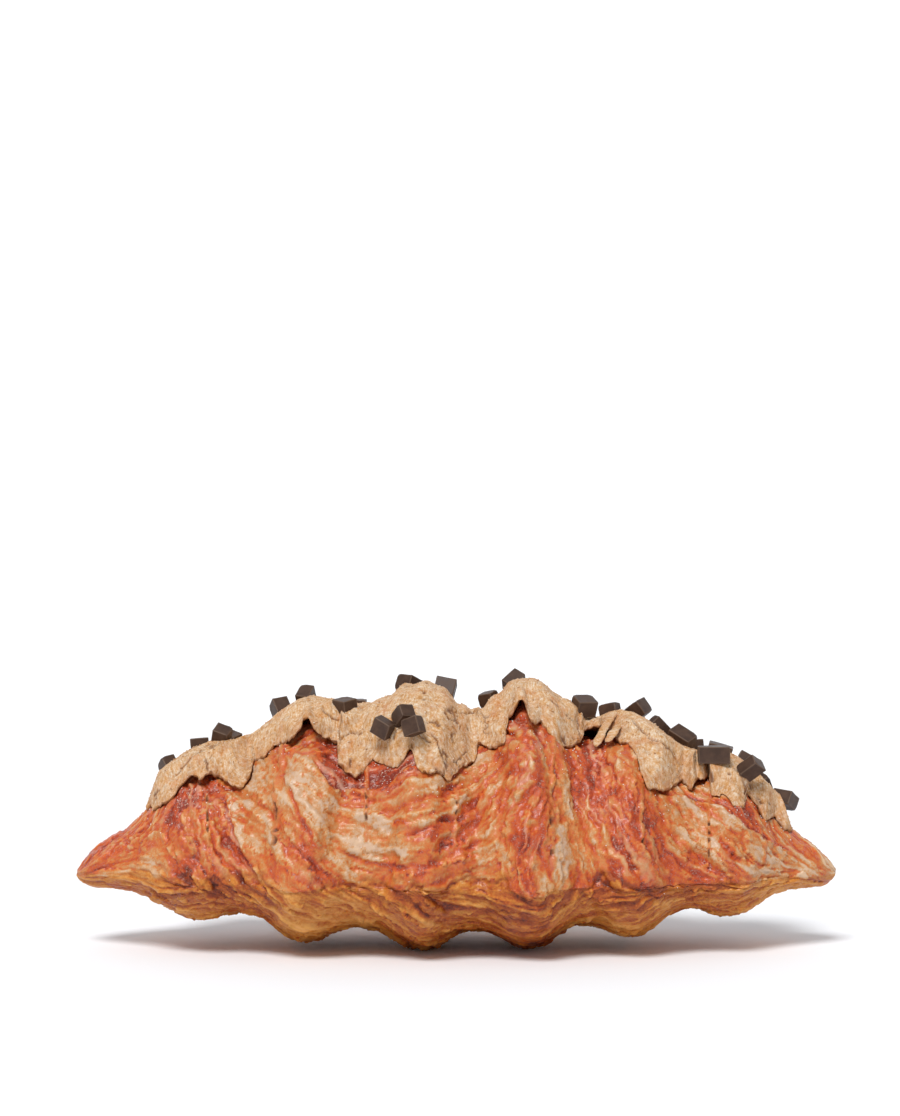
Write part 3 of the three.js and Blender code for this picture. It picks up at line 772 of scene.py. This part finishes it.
def makeCrust():
    even = np.linspace(-1, 1, crust["columns"])
    crowded = -np.cos(np.pi * (even + 1) / 2)
    x = blend(even, crowded, crust["crowding"]) * crust["lastColumn"] * form["length"] / 2
    dressed = (x > sheet["from"]) & (x < sheet["to"])
    front = np.where(dressed, frontEdgeAt(x), 180)[:, None]
    back = np.where(dressed, backEdgeAt(x), -90)[:, None]
    degrees = np.concatenate([np.arange(*band) for band in crust["bands"]])
    x, degrees = np.meshgrid(x, degrees, indexing="ij")
    base = crustPoint(x, degrees)
    normals = crustNormal(x, degrees)
    skin = crustSkin(x, degrees, base)
    lift = skin.pop("lift")
    # under the sheet the crust stays bare and low
    covered = smooth(np.minimum(degrees - front, back - degrees), -1.5, 2.5)
    lift = blend(lift, np.minimum(lift, 0) - 0.25, covered)
    skin["glaze"] = blend(skin["glaze"], 0.62, 0.6 * covered)
    points = base + normals * lift[..., None]
    points[..., 2] = np.maximum(points[..., 2], 0)
    index, faces = ringGrid(*x.shape)
    tips = [points[0].mean(0), points[-1].mean(0)]
    faces += [(x.size, b, a) for a, b in zip(index[0], np.roll(index[0], -1))]
    faces += [(x.size + 1, a, b) for a, b in zip(index[-1], np.roll(index[-1], -1))]
    fields = {
        name: np.concatenate([field.ravel(), field[0, :1], field[-1, :1]]) for name, field in skin.items()}
    made = smoothMesh("baked_crust", np.concatenate([points.reshape(-1, 3), tips]), faces, fields)
    made.data.materials.append(bakedPastry())
    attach(made, "root")
    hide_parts("croissant")
    landing = {
        "points": points.reshape(-1, 3), "normals": normals.reshape(-1, 3),
        "below": (front - degrees).ravel(),
        "facing": (((degrees < 80) & (front < 120)) * np.exp(1.5 * skin["glaze"])).ravel(),
    }
    return made, landing


crustPiece, crustLanding = makeCrust()
print("crust:", len(crustPiece.data.polygons), "faces")


# the middle of a solid block, its three axes and half its sides, read from its faces
def blockOf(node):
    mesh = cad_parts[node].data
    corners = np.array([v.co for v in mesh.vertices]) / mm
    normals = np.array([p.normal for p in mesh.polygons])
    areas = np.array([p.area for p in mesh.polygons])
    first = normals[np.argmax(areas)]
    across = np.abs(normals @ first) < 0.2
    second = normals[np.argmax(areas * across)]
    third = unit(np.cross(first, second))
    axes = np.stack([first, np.cross(third, first), third])
    local = corners @ axes.T
    return (local.min(0) + local.max(0)) / 2 @ axes, axes, (local.max(0) - local.min(0)) / 2


blocks = {name: blockOf(name) for name in sorted(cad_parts) if name.startswith("chunk_")}


# how far points lie outside a block, in mm
def fromBlock(points, block):
    middle, axes, half = block
    return np.linalg.norm(np.maximum(np.abs((points - middle) @ axes.T) - half, 0), axis=-1)


# How far inside the torn front edge each spot lies, in degrees round the roll. The nearest point of the edge
# may be in a column beside it, where the tear runs up and down.
def insideTear(x, degrees, front, perDegree):
    apart = x[1, 0] - x[0, 0]
    nearest = np.full(x.shape, 99.0)
    own = np.arange(len(x))
    for shift in range(-34, 35):
        edge = front[np.clip(own + shift, 0, len(x) - 1)]
        nearest = np.minimum(nearest, np.hypot(shift * apart / perDegree, np.maximum(degrees - edge, 0)))
    return nearest


# The dough tore and crumbled into strands that run down from the top of each turn of the roll, like spokes:
# how far across them and how far down them a spot lies, in mm.
def spokes(x, degrees, over):
    bend = [lumps(over, 5, 150 + k) for k in range(2)]
    nearest = np.rint(turnPhase(x)).astype(int).clip(0, len(crests) - 1)
    perDegree = 0.74 * sectionAt(x)[0] ** 0.7
    down = np.abs(sheet["ridge"] - degrees) * perDegree + sheet["spokeRoot"]
    sideways = np.abs(x - crests[nearest])
    across = np.arctan2(sideways, down) * sheet["spokeSpread"] + sheet["spokeBend"] * bend[0]
    return across, np.hypot(sideways, down) + 2 * bend[1]


# The sheet's closed section at each x: over the top from the torn edge to the back edge, then back underneath.
# The third grid is 1 on the top, which has topRows rows, and 0 underneath.
def sheetGrid():
    x = np.linspace(sheet["from"], sheet["to"], sheet["columns"])
    spine = np.stack([x, 0 * x, 0 * x], -1)
    front = frontEdgeAt(x) + sheet["ragged"] * roughness(spine, 1.3, 90)
    back = backEdgeAt(x) + 2 * sheet["ragged"] * roughness(spine + 40, 1.8, 91)
    back -= sheet["backUneven"] * lumps(spine + 70, 7, 92)
    front, back = front[:, None], back[:, None]
    crest = np.maximum(sheet["crestDegrees"], front + 10)
    near = np.concatenate([[0, 0.0015], np.linspace(0.006, 1, sheet["frontRows"]) ** 1.1])
    far = 1 - np.concatenate([np.linspace(1, 0.012, sheet["backRows"])[1:], [0.003, 0]])
    outer = np.concatenate([blend(front, crest, near), blend(crest, back, far)], 1)
    inner = blend(back, front, np.linspace(0, 1, sheet["innerRows"]))
    rim = np.linspace(0, 1, sheet["edgeRows"] + 2)[1:-1]
    degrees = np.concatenate([outer, np.repeat(back, len(rim), 1), inner, np.repeat(front, len(rim), 1)], 1)
    upper = np.concatenate([np.ones(outer.shape[1]), 1 - rim, np.zeros(inner.shape[1]), rim])
    return x[:, None] + 0 * degrees, degrees, upper + 0 * degrees, front, back, outer.shape[1]


# How far the dough has cracked, from 0 to 1, and the steps in it: a broken net of cracks all over, and the
# splits that the photograph shows. The same share also darkens the colour there, as painted shade.
def sheetCracks(over, normal):
    cells = cellEdges(over + 1.6 * wobble(over, 4, 120), sheet["crackCell"], 131)
    where = smooth(lumps(over, 12, 141), -0.05, 0.25) * smooth(lumps(over, 2.2, 142), -0.1, 0.25)
    crackAndShade = smooth(sheet["crackWide"] - cells, 0, 0.35) * where
    seen = seenAt(over)
    facing = smooth(-normal[..., 1], -0.05, 0.1)
    wander = 1.5 * roughness(over, 1.6, 143, 2)
    step = np.zeros_like(crackAndShade)
    for split in splits:
        aside, along = fromPath(seen, split["path"])
        aside = aside + wander
        ends = tapered(along, -0.01, 0.2) * facing
        slit = smooth(split["wide"] / 2 - np.abs(aside), -0.4, 0.7) * ends
        if split.get("broken"):
            slit *= smooth(lumps(over, 1.8, 160), -0.2, 0.2)
        crackAndShade = np.maximum(crackAndShade, slit)
        if "rise" in split:
            aside = aside * photograph["frontPixel"]
            step += split["rise"] * smooth(aside, -0.2, 0.2) * np.exp(-np.maximum(aside, 0) / 5) * ends
    return crackAndShade, step


# the nearest front spot of the crust, as x and degrees, that a pixel of the photograph shows
def spotSeenAt(pixel, over):
    x, degrees = np.meshgrid(np.arange(-88, 88.1, 0.25), np.arange(0, 110, 0.5), indexing="ij")
    seen = seenAt(crustPoint(x, degrees) + crustNormal(x, degrees) * over)
    best = np.argmin(((seen - np.array(pixel)) ** 2).sum(-1))
    return x.flat[best], degrees.flat[best]


# a curled strip of the dough, as a closed band whose points are numbered from start
def curledStrip(strip, start):
    x, degrees = np.array([spotSeenAt(pixel, sheet["curlOver"]) for pixel in strip["path"]]).T
    normal = crustNormal(x, degrees)
    path = crustPoint(x, degrees) + normal * (sheet["curlOver"] + np.array(strip["lift"]))[:, None]
    steps, around = sheet["curlSteps"], sheet["curlAround"]
    t = np.linspace(0, len(path) - 1, steps)
    whole = np.arange(len(path))
    centre, up = [
        np.stack([np.interp(t, whole, line[:, k]) for k in range(3)], -1) for line in (path, normal)]
    for _ in range(5):
        centre[1:-1] = (centre[:-2] + 2 * centre[1:-1] + centre[2:]) / 4
    up = unit(up)
    side = unit(np.cross(unit(np.gradient(centre, axis=0)), up))
    angle = np.linspace(0, 2 * np.pi, around, endpoint=False)[:, None]
    swell = np.minimum(1, 0.3 + 2.2 * np.sin(np.pi * np.linspace(0.02, 0.98, steps)))[:, None, None]
    halfWide, halfThick = sheet["curlHalfWide"], sheet["curlHalfThick"]
    ring = np.cos(angle) * side[:, None] * halfWide + np.sin(angle) * up[:, None] * halfThick
    points = centre[:, None] + ring * swell
    points = points + 0.22 * wobble(points, 1.1, 180, 1)
    index, quads = ringGrid(steps, around, start)
    faces = [(a, d, c, b) for a, b, c, d in quads]
    return points.reshape(-1, 3), faces + [index[0].tolist(), index[-1].tolist()[::-1]]


def makeSheet():
    x, degrees, upper, front, back, topRows = sheetGrid()
    fromFront = degrees - front
    fromEnd = np.minimum(x - sheet["from"], sheet["to"] - x)
    base = crustPoint(x, degrees)
    straight = crustNormal(x, degrees)
    # the dough hangs across the valleys, so it stands off more up and out than along the roll
    normal = unit(straight * np.array([sheet["drape"], 1, 1]))
    lift = (1 - smooth(fromFront, 0, 16)) * archLift(x)
    perDegree = 0.7 * sectionAt(x)[0]
    fromTear = insideTear(x, degrees, front, perDegree)
    fromEdge = fromTear * perDegree
    seat = base + straight * (sheet["gap"] + fullThickness(x))[..., None]
    apart = np.min([fromBlock(seat, block) for block in blocks.values()], 0)
    fromTear = blend(fromTear, fromFront, smooth(sheet["seatReach"] - apart, 0, 3))
    inward = np.minimum(np.minimum(fromTear, back - degrees), 3 * fromEnd)
    inward = np.clip(inward / sheet["rimReach"], 0, 1)
    tent = sheet["tent"] * (1 - crestShare(x)) * smooth(95 - degrees, 0, 22)
    thick = blend(sheet["rimThick"], fullThickness(x) + tent, inward)
    gap = blend(sheet["rimGap"], sheet["gap"], inward)
    over = base + normal * (gap + lift + thick * upper)[..., None]
    lump = roughness(over, sheet["lump"], 101)
    crumb = roughness(over, sheet["crumbSize"], 111)
    across, along = spokes(x, degrees, over)
    strands = np.stack([across / sheet["fibreWide"], along / sheet["fibreLong"], 0 * x], -1)
    fibre = lumps(strands, 1, 152) + 0.6 * lumps(strands * np.array([2.1, 1.9, 1]), 1, 153)
    layer = 2 * lumps(strands * np.array([0.24, 0.6, 1]), 1, 155) + 0.9 * lumps(over, 2.4, 156)
    tread = np.floor(layer)
    riser = layer - tread
    crackAndShade, step = sheetCracks(over, normal)
    relief = sheet["lumpHigh"] * lump + sheet["crumbHigh"] * crumb + step - sheet["crackDeep"] * crackAndShade
    relief += sheet["seatHigh"] * smooth(1.5 - apart, 0, 1.5)
    relief += sheet["fibreHigh"] * fibre + sheet["layerHigh"] * (tread + smooth(riser, 0.8, 1))
    relief *= smooth(upper, 0.3, 1)
    # a painted shade on the riser of each layer step, added to the crack share after the relief is made
    crackAndShade = np.maximum(crackAndShade, 0.25 * smooth(riser, 0.62, 0.85) * smooth(1 - riser, 0, 0.12))
    fray = sheet["frayed"] * wobble(over, 1.1, 170, 2) * np.exp(-fromEdge / 1.5)[..., None]
    points = over + normal * relief[..., None] + fray
    index, faces = ringGrid(*x.shape)
    faces += [index[0].tolist()[::-1], index[-1].tolist()]
    parts = [points.reshape(-1, 3)]
    for strip in curls:
        stripPoints, stripFaces = curledStrip(strip, sum(len(part) for part in parts))
        parts.append(stripPoints)
        faces += stripFaces
    curled = np.concatenate(parts[1:])
    flat = np.zeros(len(curled))
    fields = {
        # inside marks the sheet's underside, which the material darkens as a painted shade
        "crackAndShade": (crackAndShade, flat), "fibre": (fibre, flat), "inside": (1 - upper, flat),
        "lump": (lump + 0.5 * crumb, flat), "edge": (np.exp(-fromEdge / 2), flat + 0.15),
        "strandAcross": (across / sheet["strandWide"], curled[:, 2] / sheet["strandWide"]),
        "strandAlong": (along / sheet["strandLong"], curled[:, 0] / sheet["strandLong"]),
    }
    fields = {name: np.append(onSheet, onCurls) for name, (onSheet, onCurls) in fields.items()}
    made = smoothMesh("cookie_crust", np.concatenate(parts), faces, fields)
    made.data.materials.append(bakedCookie())
    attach(made, "root")
    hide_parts("cookie_sheet")
    return made, points[:, :topRows], normal[:, :topRows]


cookie = {
    "sand": [(0, "#b07c46"), (0.25, "#c2925e"), (0.5, "#cda882"), (0.75, "#d5bc9f"), (1, "#e0d2bc")],
    # the crack and inner tints are painted shade: in cracks, slits and layer steps, and on the sheet's underside
    "toast": "#b8703a", "crackAndShade": "#5d2a10", "inner": "#8f562b",
    "noises": {"grain": (0.42, 2, 0.65), "fleck": (1.3, 3, 0.65), "blotch": (4, 5, 0.65)},
    "darkest": -1.4,
    "tones": {"strand": 1.6, "grain": 1.2, "fleck": 1, "fibre": 0.06, "lump": 0.04},
    "toasted": (0.5, 0.7, 0.62), "edgeToasted": 0.22, "crackShadeShown": 0.8,
    "roughness": 0.85, "bumpMm": 0.09, "bump": {"strand": 1.5},
}


# Sugared short dough, rolled thin and baked dry: matt and sandy, toasted in blotches. Its cracks, slits and
# layer steps and its underside are darkened with painted shade.
# Its real grain is finer, and is drawn 0.42 mm across so that it shows.
def bakedCookie():
    material, tree = startMaterial("sugared_cookie_dough")
    held = ("crackAndShade", "fibre", "lump", "inside", "edge", "strandAcross", "strandAlong")
    fields = surfaceFields(tree, held, cookie["noises"])
    down = addNode(tree, "CombineXYZ", {"X": fields["strandAcross"], "Y": fields["strandAlong"]})
    fields["strand"] = addNode(tree, "TexNoise", {
        "Vector": down, "Scale": 1, "Detail": 2, "Roughness": 0.6}, out="Fac")
    tone = addUp(tree, cookie["darkest"], fields, cookie["tones"])
    colour = addNode(tree, "ValToRGB", {"Fac": tone}, stops=cookie["sand"])
    low, high, most = cookie["toasted"]
    toasted = addNode(tree, "MapRange", {
        "Value": fields["blotch"], "From Min": low, "From Max": high, "To Max": most})
    toasted = addNode(tree, "Math", {
        0: fields["edge"], 1: cookie["edgeToasted"], 2: toasted}, operation="MULTIPLY_ADD", use_clamp=True)
    # the crack tint is a painted shade
    crackShade = addNode(tree, "Math", {0: fields["crackAndShade"], 1: cookie["crackShadeShown"]}, operation="MULTIPLY")
    # the inner tint on the sheet's underside is a painted shade
    for share, tint in ((toasted, "toast"), (crackShade, "crackAndShade"), (fields["inside"], "inner")):
        colour = addNode(tree, "Mix", {
            "Factor": share, 6: colour, 7: linear(cookie[tint])}, 2, data_type="RGBA")
    height = addUp(tree, fields["grain"], fields, cookie["bump"])
    bump = addNode(tree, "Bump", {"Height": height, "Strength": 0.8, "Distance": cookie["bumpMm"] * mm})
    shader = addNode(tree, "BsdfPrincipled", {
        "Base Color": colour, "Roughness": cookie["roughness"], "IOR": 1.45,
        "Specular IOR Level": 0.25, "Normal": bump})
    addNode(tree, "OutputMaterial", {"Surface": shader})
    return material


sheetPiece, sheetTop, sheetNormals = makeSheet()
print("cookie sheet:", len(sheetPiece.data.polygons), "faces")

chocolate = {
    # the edge tint is partly bloom and partly a painted highlight
    "dark": "#3c281d", "light": "#50392b", "edgeBloomAndHighlight": "#604a3a",
    "roughness": (0.4, 0.62),
    "noises": {"bloom": (2.2, 4, 0.6), "satin": (0.35, 2, 0.5)},
    "bumpMm": 0.03,
    "rounding": 0.2,        # the worn edge
    "cells": 7,             # across each face
    "weldMm": 0.01,
    "wave": 0.05, "chip": 0.3, "chipReach": 1.1,
}


# Tempered dark chocolate, cast and cut: a satin face with a faint grey bloom, and rounded edges made paler,
# partly by bloom and partly as a painted highlight.
def castChocolate():
    material, tree = startMaterial("tempered_dark_chocolate")
    fields = surfaceFields(tree, ("edge",), chocolate["noises"])
    spread = addNode(tree, "MapRange", {"Value": fields["bloom"], "From Min": 0.35, "From Max": 0.7})
    colour = linear(chocolate["dark"])
    # the rounded edges are paler, partly bloom and partly a painted highlight
    for share, tint in ((spread, "light"), (fields["edge"], "edgeBloomAndHighlight")):
        colour = addNode(tree, "Mix", {
            "Factor": share, 6: colour, 7: linear(chocolate[tint])}, 2, data_type="RGBA")
    least, most = chocolate["roughness"]
    rough = addNode(tree, "MapRange", {"Value": fields["bloom"], "To Min": least, "To Max": most})
    bump = addNode(tree, "Bump", {
        "Height": fields["satin"], "Strength": 0.3, "Distance": chocolate["bumpMm"] * mm})
    shader = addNode(tree, "BsdfPrincipled", {
        "Base Color": colour, "Roughness": rough, "IOR": 1.5, "Specular IOR Level": 0.35, "Normal": bump})
    addNode(tree, "OutputMaterial", {"Surface": shader})
    return material


# the six faces of a block as grids whose lines crowd towards its edges
def blockGrid(half):
    rounding = chocolate["rounding"]
    close = rounding * np.array([0, 0.45, 1])
    points = []
    faces = []
    for axis in range(3):
        for side in (-1, 1):
            u, v = (axis + 1) % 3, (axis + 2) % 3
            lines = []
            for h in (half[u], half[v]):
                middle = np.linspace(-h + rounding * 1.5, h - rounding * 1.5, chocolate["cells"])
                lines.append(np.concatenate([close - h, middle, h - close[::-1]]))
            a, b = np.meshgrid(*lines, indexing="ij")
            flat = np.empty((*a.shape, 3))
            flat[..., axis] = side * half[axis]
            flat[..., u] = a
            flat[..., v] = b
            index = sum(len(p) for p in points) + np.arange(a.size).reshape(a.shape)
            quads = np.stack([index[:-1, :-1], index[1:, :-1], index[1:, 1:], index[:-1, 1:]], -1)
            quads = quads.reshape(-1, 4)
            faces += (quads if side > 0 else quads[:, ::-1]).tolist()
            points.append(flat.reshape(-1, 3))
    return np.concatenate(points), faces


def weld(thing):
    work = bmesh.new()
    work.from_mesh(thing.data)
    bmesh.ops.remove_doubles(work, verts=work.verts, dist=chocolate["weldMm"] * mm)
    work.to_mesh(thing.data)
    work.free()


def makeChunk(node, material, seed):
    middle, axes, half = blocks[node]
    draw = np.random.default_rng(seed)
    rounding = chocolate["rounding"]
    flat, faces = blockGrid(half)
    core = np.clip(flat, -(half - rounding), half - rounding)
    outward = unit(flat - core)
    rounded = core + outward * rounding
    edge = smooth(np.sort(np.abs(flat) - (half - rounding), -1)[:, 1], -0.1, 0.12)
    wave = chocolate["wave"] * lumps(rounded + seed * 9, 1.7, 5)
    for corner in draw.choice(8, 3, replace=False):
        at = half * np.array([corner & 1, corner >> 1 & 1, corner >> 2 & 1]) * 2 - half
        reach = chocolate["chipReach"] * draw.uniform(0.5, 1.1)
        wave = wave - chocolate["chip"] * smooth(reach - np.linalg.norm(flat - at, axis=-1), 0, reach)
    placed = (rounded + outward * wave[:, None]) @ axes + middle
    if np.linalg.det(axes) < 0:
        faces = [face[::-1] for face in faces]
    made = smoothMesh(node.replace("chunk", "chocolate"), placed, faces, {"edge": edge})
    weld(made)
    made.data.materials.append(material)
    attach(made, "root")
    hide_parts(node)
    return made


chocolateFinish = castChocolate()
chunkPieces = [makeChunk(name, chocolateFinish, n) for n, name in enumerate(blocks)]
print("chocolate:", len(chunkPieces), "chunks")

scatter = {
    "seed": 5,
    "crumbs": 1700, "crumbSize": (0.1, 0.27),        # half sizes
    "aroundChunk": 16, "chunkReach": 0.9, "touching": 0.05,
    "crystals": 300, "crystalSize": (0.09, 0.16),
    "crystalFade": 26 / 3,                           # degrees below the sheet over which fallen sugar thins out
}
loose = {
    # crumbs of the same dough, some toasted through: dry and matt
    "loose_cookie_crumb": {
        "stops": [(0, "#a57146"), (0.4, "#c59a72"), (0.8, "#d4b699"), (1, "#dfcdb6")],
        "roughness": 0.85, "shine": 0.3},
    # sugar: clear white grains that flash in the light
    "coarse_sugar": {
        "stops": [(0, "#e3d3c4"), (0.5, "#f6efe8"), (1, "#ffffff")],
        "roughness": 0.18, "shine": 0.8},
}


# the twenty triangles of an icosahedron, found as its corners that all lie next to one another
def icosahedron():
    golden = (1 + 5 ** 0.5) / 2
    corners = np.array([(0, s, t * golden) for s in (-1, 1) for t in (-1, 1)])
    corners = unit(np.concatenate([np.roll(corners, k, 1) for k in range(3)]))
    near = np.linalg.norm(corners[:, None] - corners[None], axis=-1) < 1.2
    faces = []
    for a in range(12):
        for b in range(a + 1, 12):
            for c in range(b + 1, 12):
                if near[a, b] and near[b, c] and near[a, c]:
                    outward = np.dot(np.cross(corners[b] - corners[a], corners[c] - corners[a]), corners[a])
                    faces.append((a, b, c) if outward > 0 else (a, c, b))
    return corners, np.array(faces)


# An uneven lump for each place, all joined in one mesh: an icosahedron with its corners pushed about.
def makeGrains(name, places, normals, sizes, squash, draw):
    corners, faces = icosahedron()
    count = len(places)
    pushed = corners[None] * draw.uniform(0.7, 1.25, (count, 12, 1))
    turn = unit(draw.normal(size=(count, 4)))
    w, axis = turn[:, :1, None], turn[:, None, 1:]
    turned = pushed + 2 * np.cross(axis, np.cross(axis, pushed) + w * pushed)
    stretched = turned * sizes[:, None, None] * draw.uniform(0.7, 1.2, (count, 1, 3))
    up = (stretched * normals[:, None]).sum(-1, keepdims=True) * normals[:, None]
    points = places[:, None] + stretched - up * (1 - squash) + normals[:, None] * sizes[:, None, None] * 0.35
    index = (np.arange(count)[:, None, None] * 12 + faces[None]).reshape(-1, 3)
    tone = np.repeat(draw.uniform(0, 1, count), 12)
    return smoothMesh(name, points.reshape(-1, 3), index.tolist(), {"tone": tone})


def looseMaterial(name):
    material, tree = startMaterial(name)
    fields = surfaceFields(tree, ("tone",), {"grain": (0.25, 2, 0.5)})
    tone = addUp(tree, fields["tone"], fields, {"grain": 0.5})
    tone = addNode(tree, "Math", {0: tone, 1: 0.25}, operation="SUBTRACT")
    colour = addNode(tree, "ValToRGB", {"Fac": tone}, stops=loose[name]["stops"])
    shader = addNode(tree, "BsdfPrincipled", {
        "Base Color": colour, "Roughness": loose[name]["roughness"], "IOR": 1.5,
        "Specular IOR Level": loose[name]["shine"]})
    addNode(tree, "OutputMaterial", {"Surface": shader})
    return material


def dressGrains(made, finish):
    made.data.materials.append(looseMaterial(finish))
    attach(made, "root")


def makeLoose():
    draw = np.random.default_rng(scatter["seed"])
    places = sheetTop[2:-2, 2:-3].reshape(-1, 3)
    normals = sheetNormals[2:-2, 2:-3].reshape(-1, 3)
    chosen = [draw.choice(len(places), scatter["crumbs"])]
    inBlock = np.zeros(len(places), bool)
    for block in blocks.values():
        distance = fromBlock(places, block)
        inBlock |= distance < scatter["touching"]
        close = np.flatnonzero((distance > scatter["touching"]) & (distance < scatter["chunkReach"]))
        if len(close):
            chosen.append(draw.choice(close, scatter["aroundChunk"]))
    chosen = np.concatenate(chosen)
    chosen = chosen[~inBlock[chosen]]
    low, high = scatter["crumbSize"]
    sizes = blend(low, high, draw.uniform(0, 1, len(chosen)) ** 2)
    crumbs = makeGrains("cookie_crumbs", places[chosen], normals[chosen], sizes, 0.8, draw)
    dressGrains(crumbs, "loose_cookie_crumb")
    # sugar that has fallen off the dough on the crust below: more of it close under the torn edge
    below = crustLanding["below"]
    weight = np.exp(-np.maximum(below, 0) / scatter["crystalFade"]) * (below > 0.3) * crustLanding["facing"]
    chosen = draw.choice(len(below), scatter["crystals"], p=weight / weight.sum())
    sizes = draw.uniform(*scatter["crystalSize"], len(chosen))
    sugar = makeGrains(
        "sugar_crystals", crustLanding["points"][chosen], crustLanding["normals"][chosen], sizes, 1, draw)
    dressGrains(sugar, "coarse_sugar")
    return crumbs, sugar


crumbPiece, sugarPiece = makeLoose()
print("loose grains:", len(crumbPiece.data.polygons) + len(sugarPiece.data.polygons), "faces")

studio = {
    "floor": "#f3f5f8", "halfWide": 4000, "front": -3000, "flatTo": 1200, "sweepRadius": 800, "wallTo": 3000,
    "world": "#ffffff", "worldStrength": 0.42,
    "key": 2.6, "keyFrom": (-0.22, -0.75, 1), "keySoftness": 22,    # degrees across
}


# The floor runs up behind in one sweep, so no line shows where it ends.
def makeFloor():
    flat, radius = studio["flatTo"], studio["sweepRadius"]
    sweep = [(studio["front"], 0), (flat, 0)]
    sweep += [
        (flat + radius * math.sin(a), radius - radius * math.cos(a)) for a in np.linspace(0.1, math.pi / 2, 12)]
    sweep += [(flat + radius, studio["wallTo"])]
    points = [(side, y, z) for y, z in sweep for side in (-studio["halfWide"], studio["halfWide"])]
    faces = [(2 * i, 2 * i + 1, 2 * i + 3, 2 * i + 2) for i in range(len(sweep) - 1)]
    floor = smoothMesh("studio_floor", np.array(points), faces, {})
    material, tree = startMaterial("painted_studio_floor")     # matt white paint, which only takes the shadow
    shader = addNode(tree, "BsdfPrincipled", {
        "Base Color": linear(studio["floor"]), "Roughness": 0.9, "Specular IOR Level": 0.1})
    addNode(tree, "OutputMaterial", {"Surface": shader})
    floor.data.materials.append(material)


# The world is plain white to the camera, and a dimmer light all round. One wide lamp stands over the front.
def lightStudio():
    world = bpy.data.worlds.new("studio_light")
    world.use_nodes = True
    background = world.node_tree.nodes["Background"]
    background.inputs["Color"].default_value = linear(studio["world"])
    direct = addNode(world.node_tree, "LightPath", out="Is Camera Ray")
    strength = addNode(world.node_tree, "MapRange", {
        "Value": direct, "To Min": studio["worldStrength"], "To Max": 1})
    world.node_tree.links.new(strength, background.inputs["Strength"])
    bpy.context.scene.world = world
    data = bpy.data.lights.new("overhead_diffuser", "SUN")
    data.energy = studio["key"]
    data.angle = math.radians(studio["keySoftness"])
    x, y, z = studio["keyFrom"]
    lamp = addObject("overhead_diffuser", data)
    lamp.rotation_euler = (math.atan2(math.hypot(x, y), z), 0, math.atan2(x, -y))
    bpy.context.scene.view_settings.view_transform = "Standard"   # the photograph's plain tone curve


makeFloor()
lightStudio()
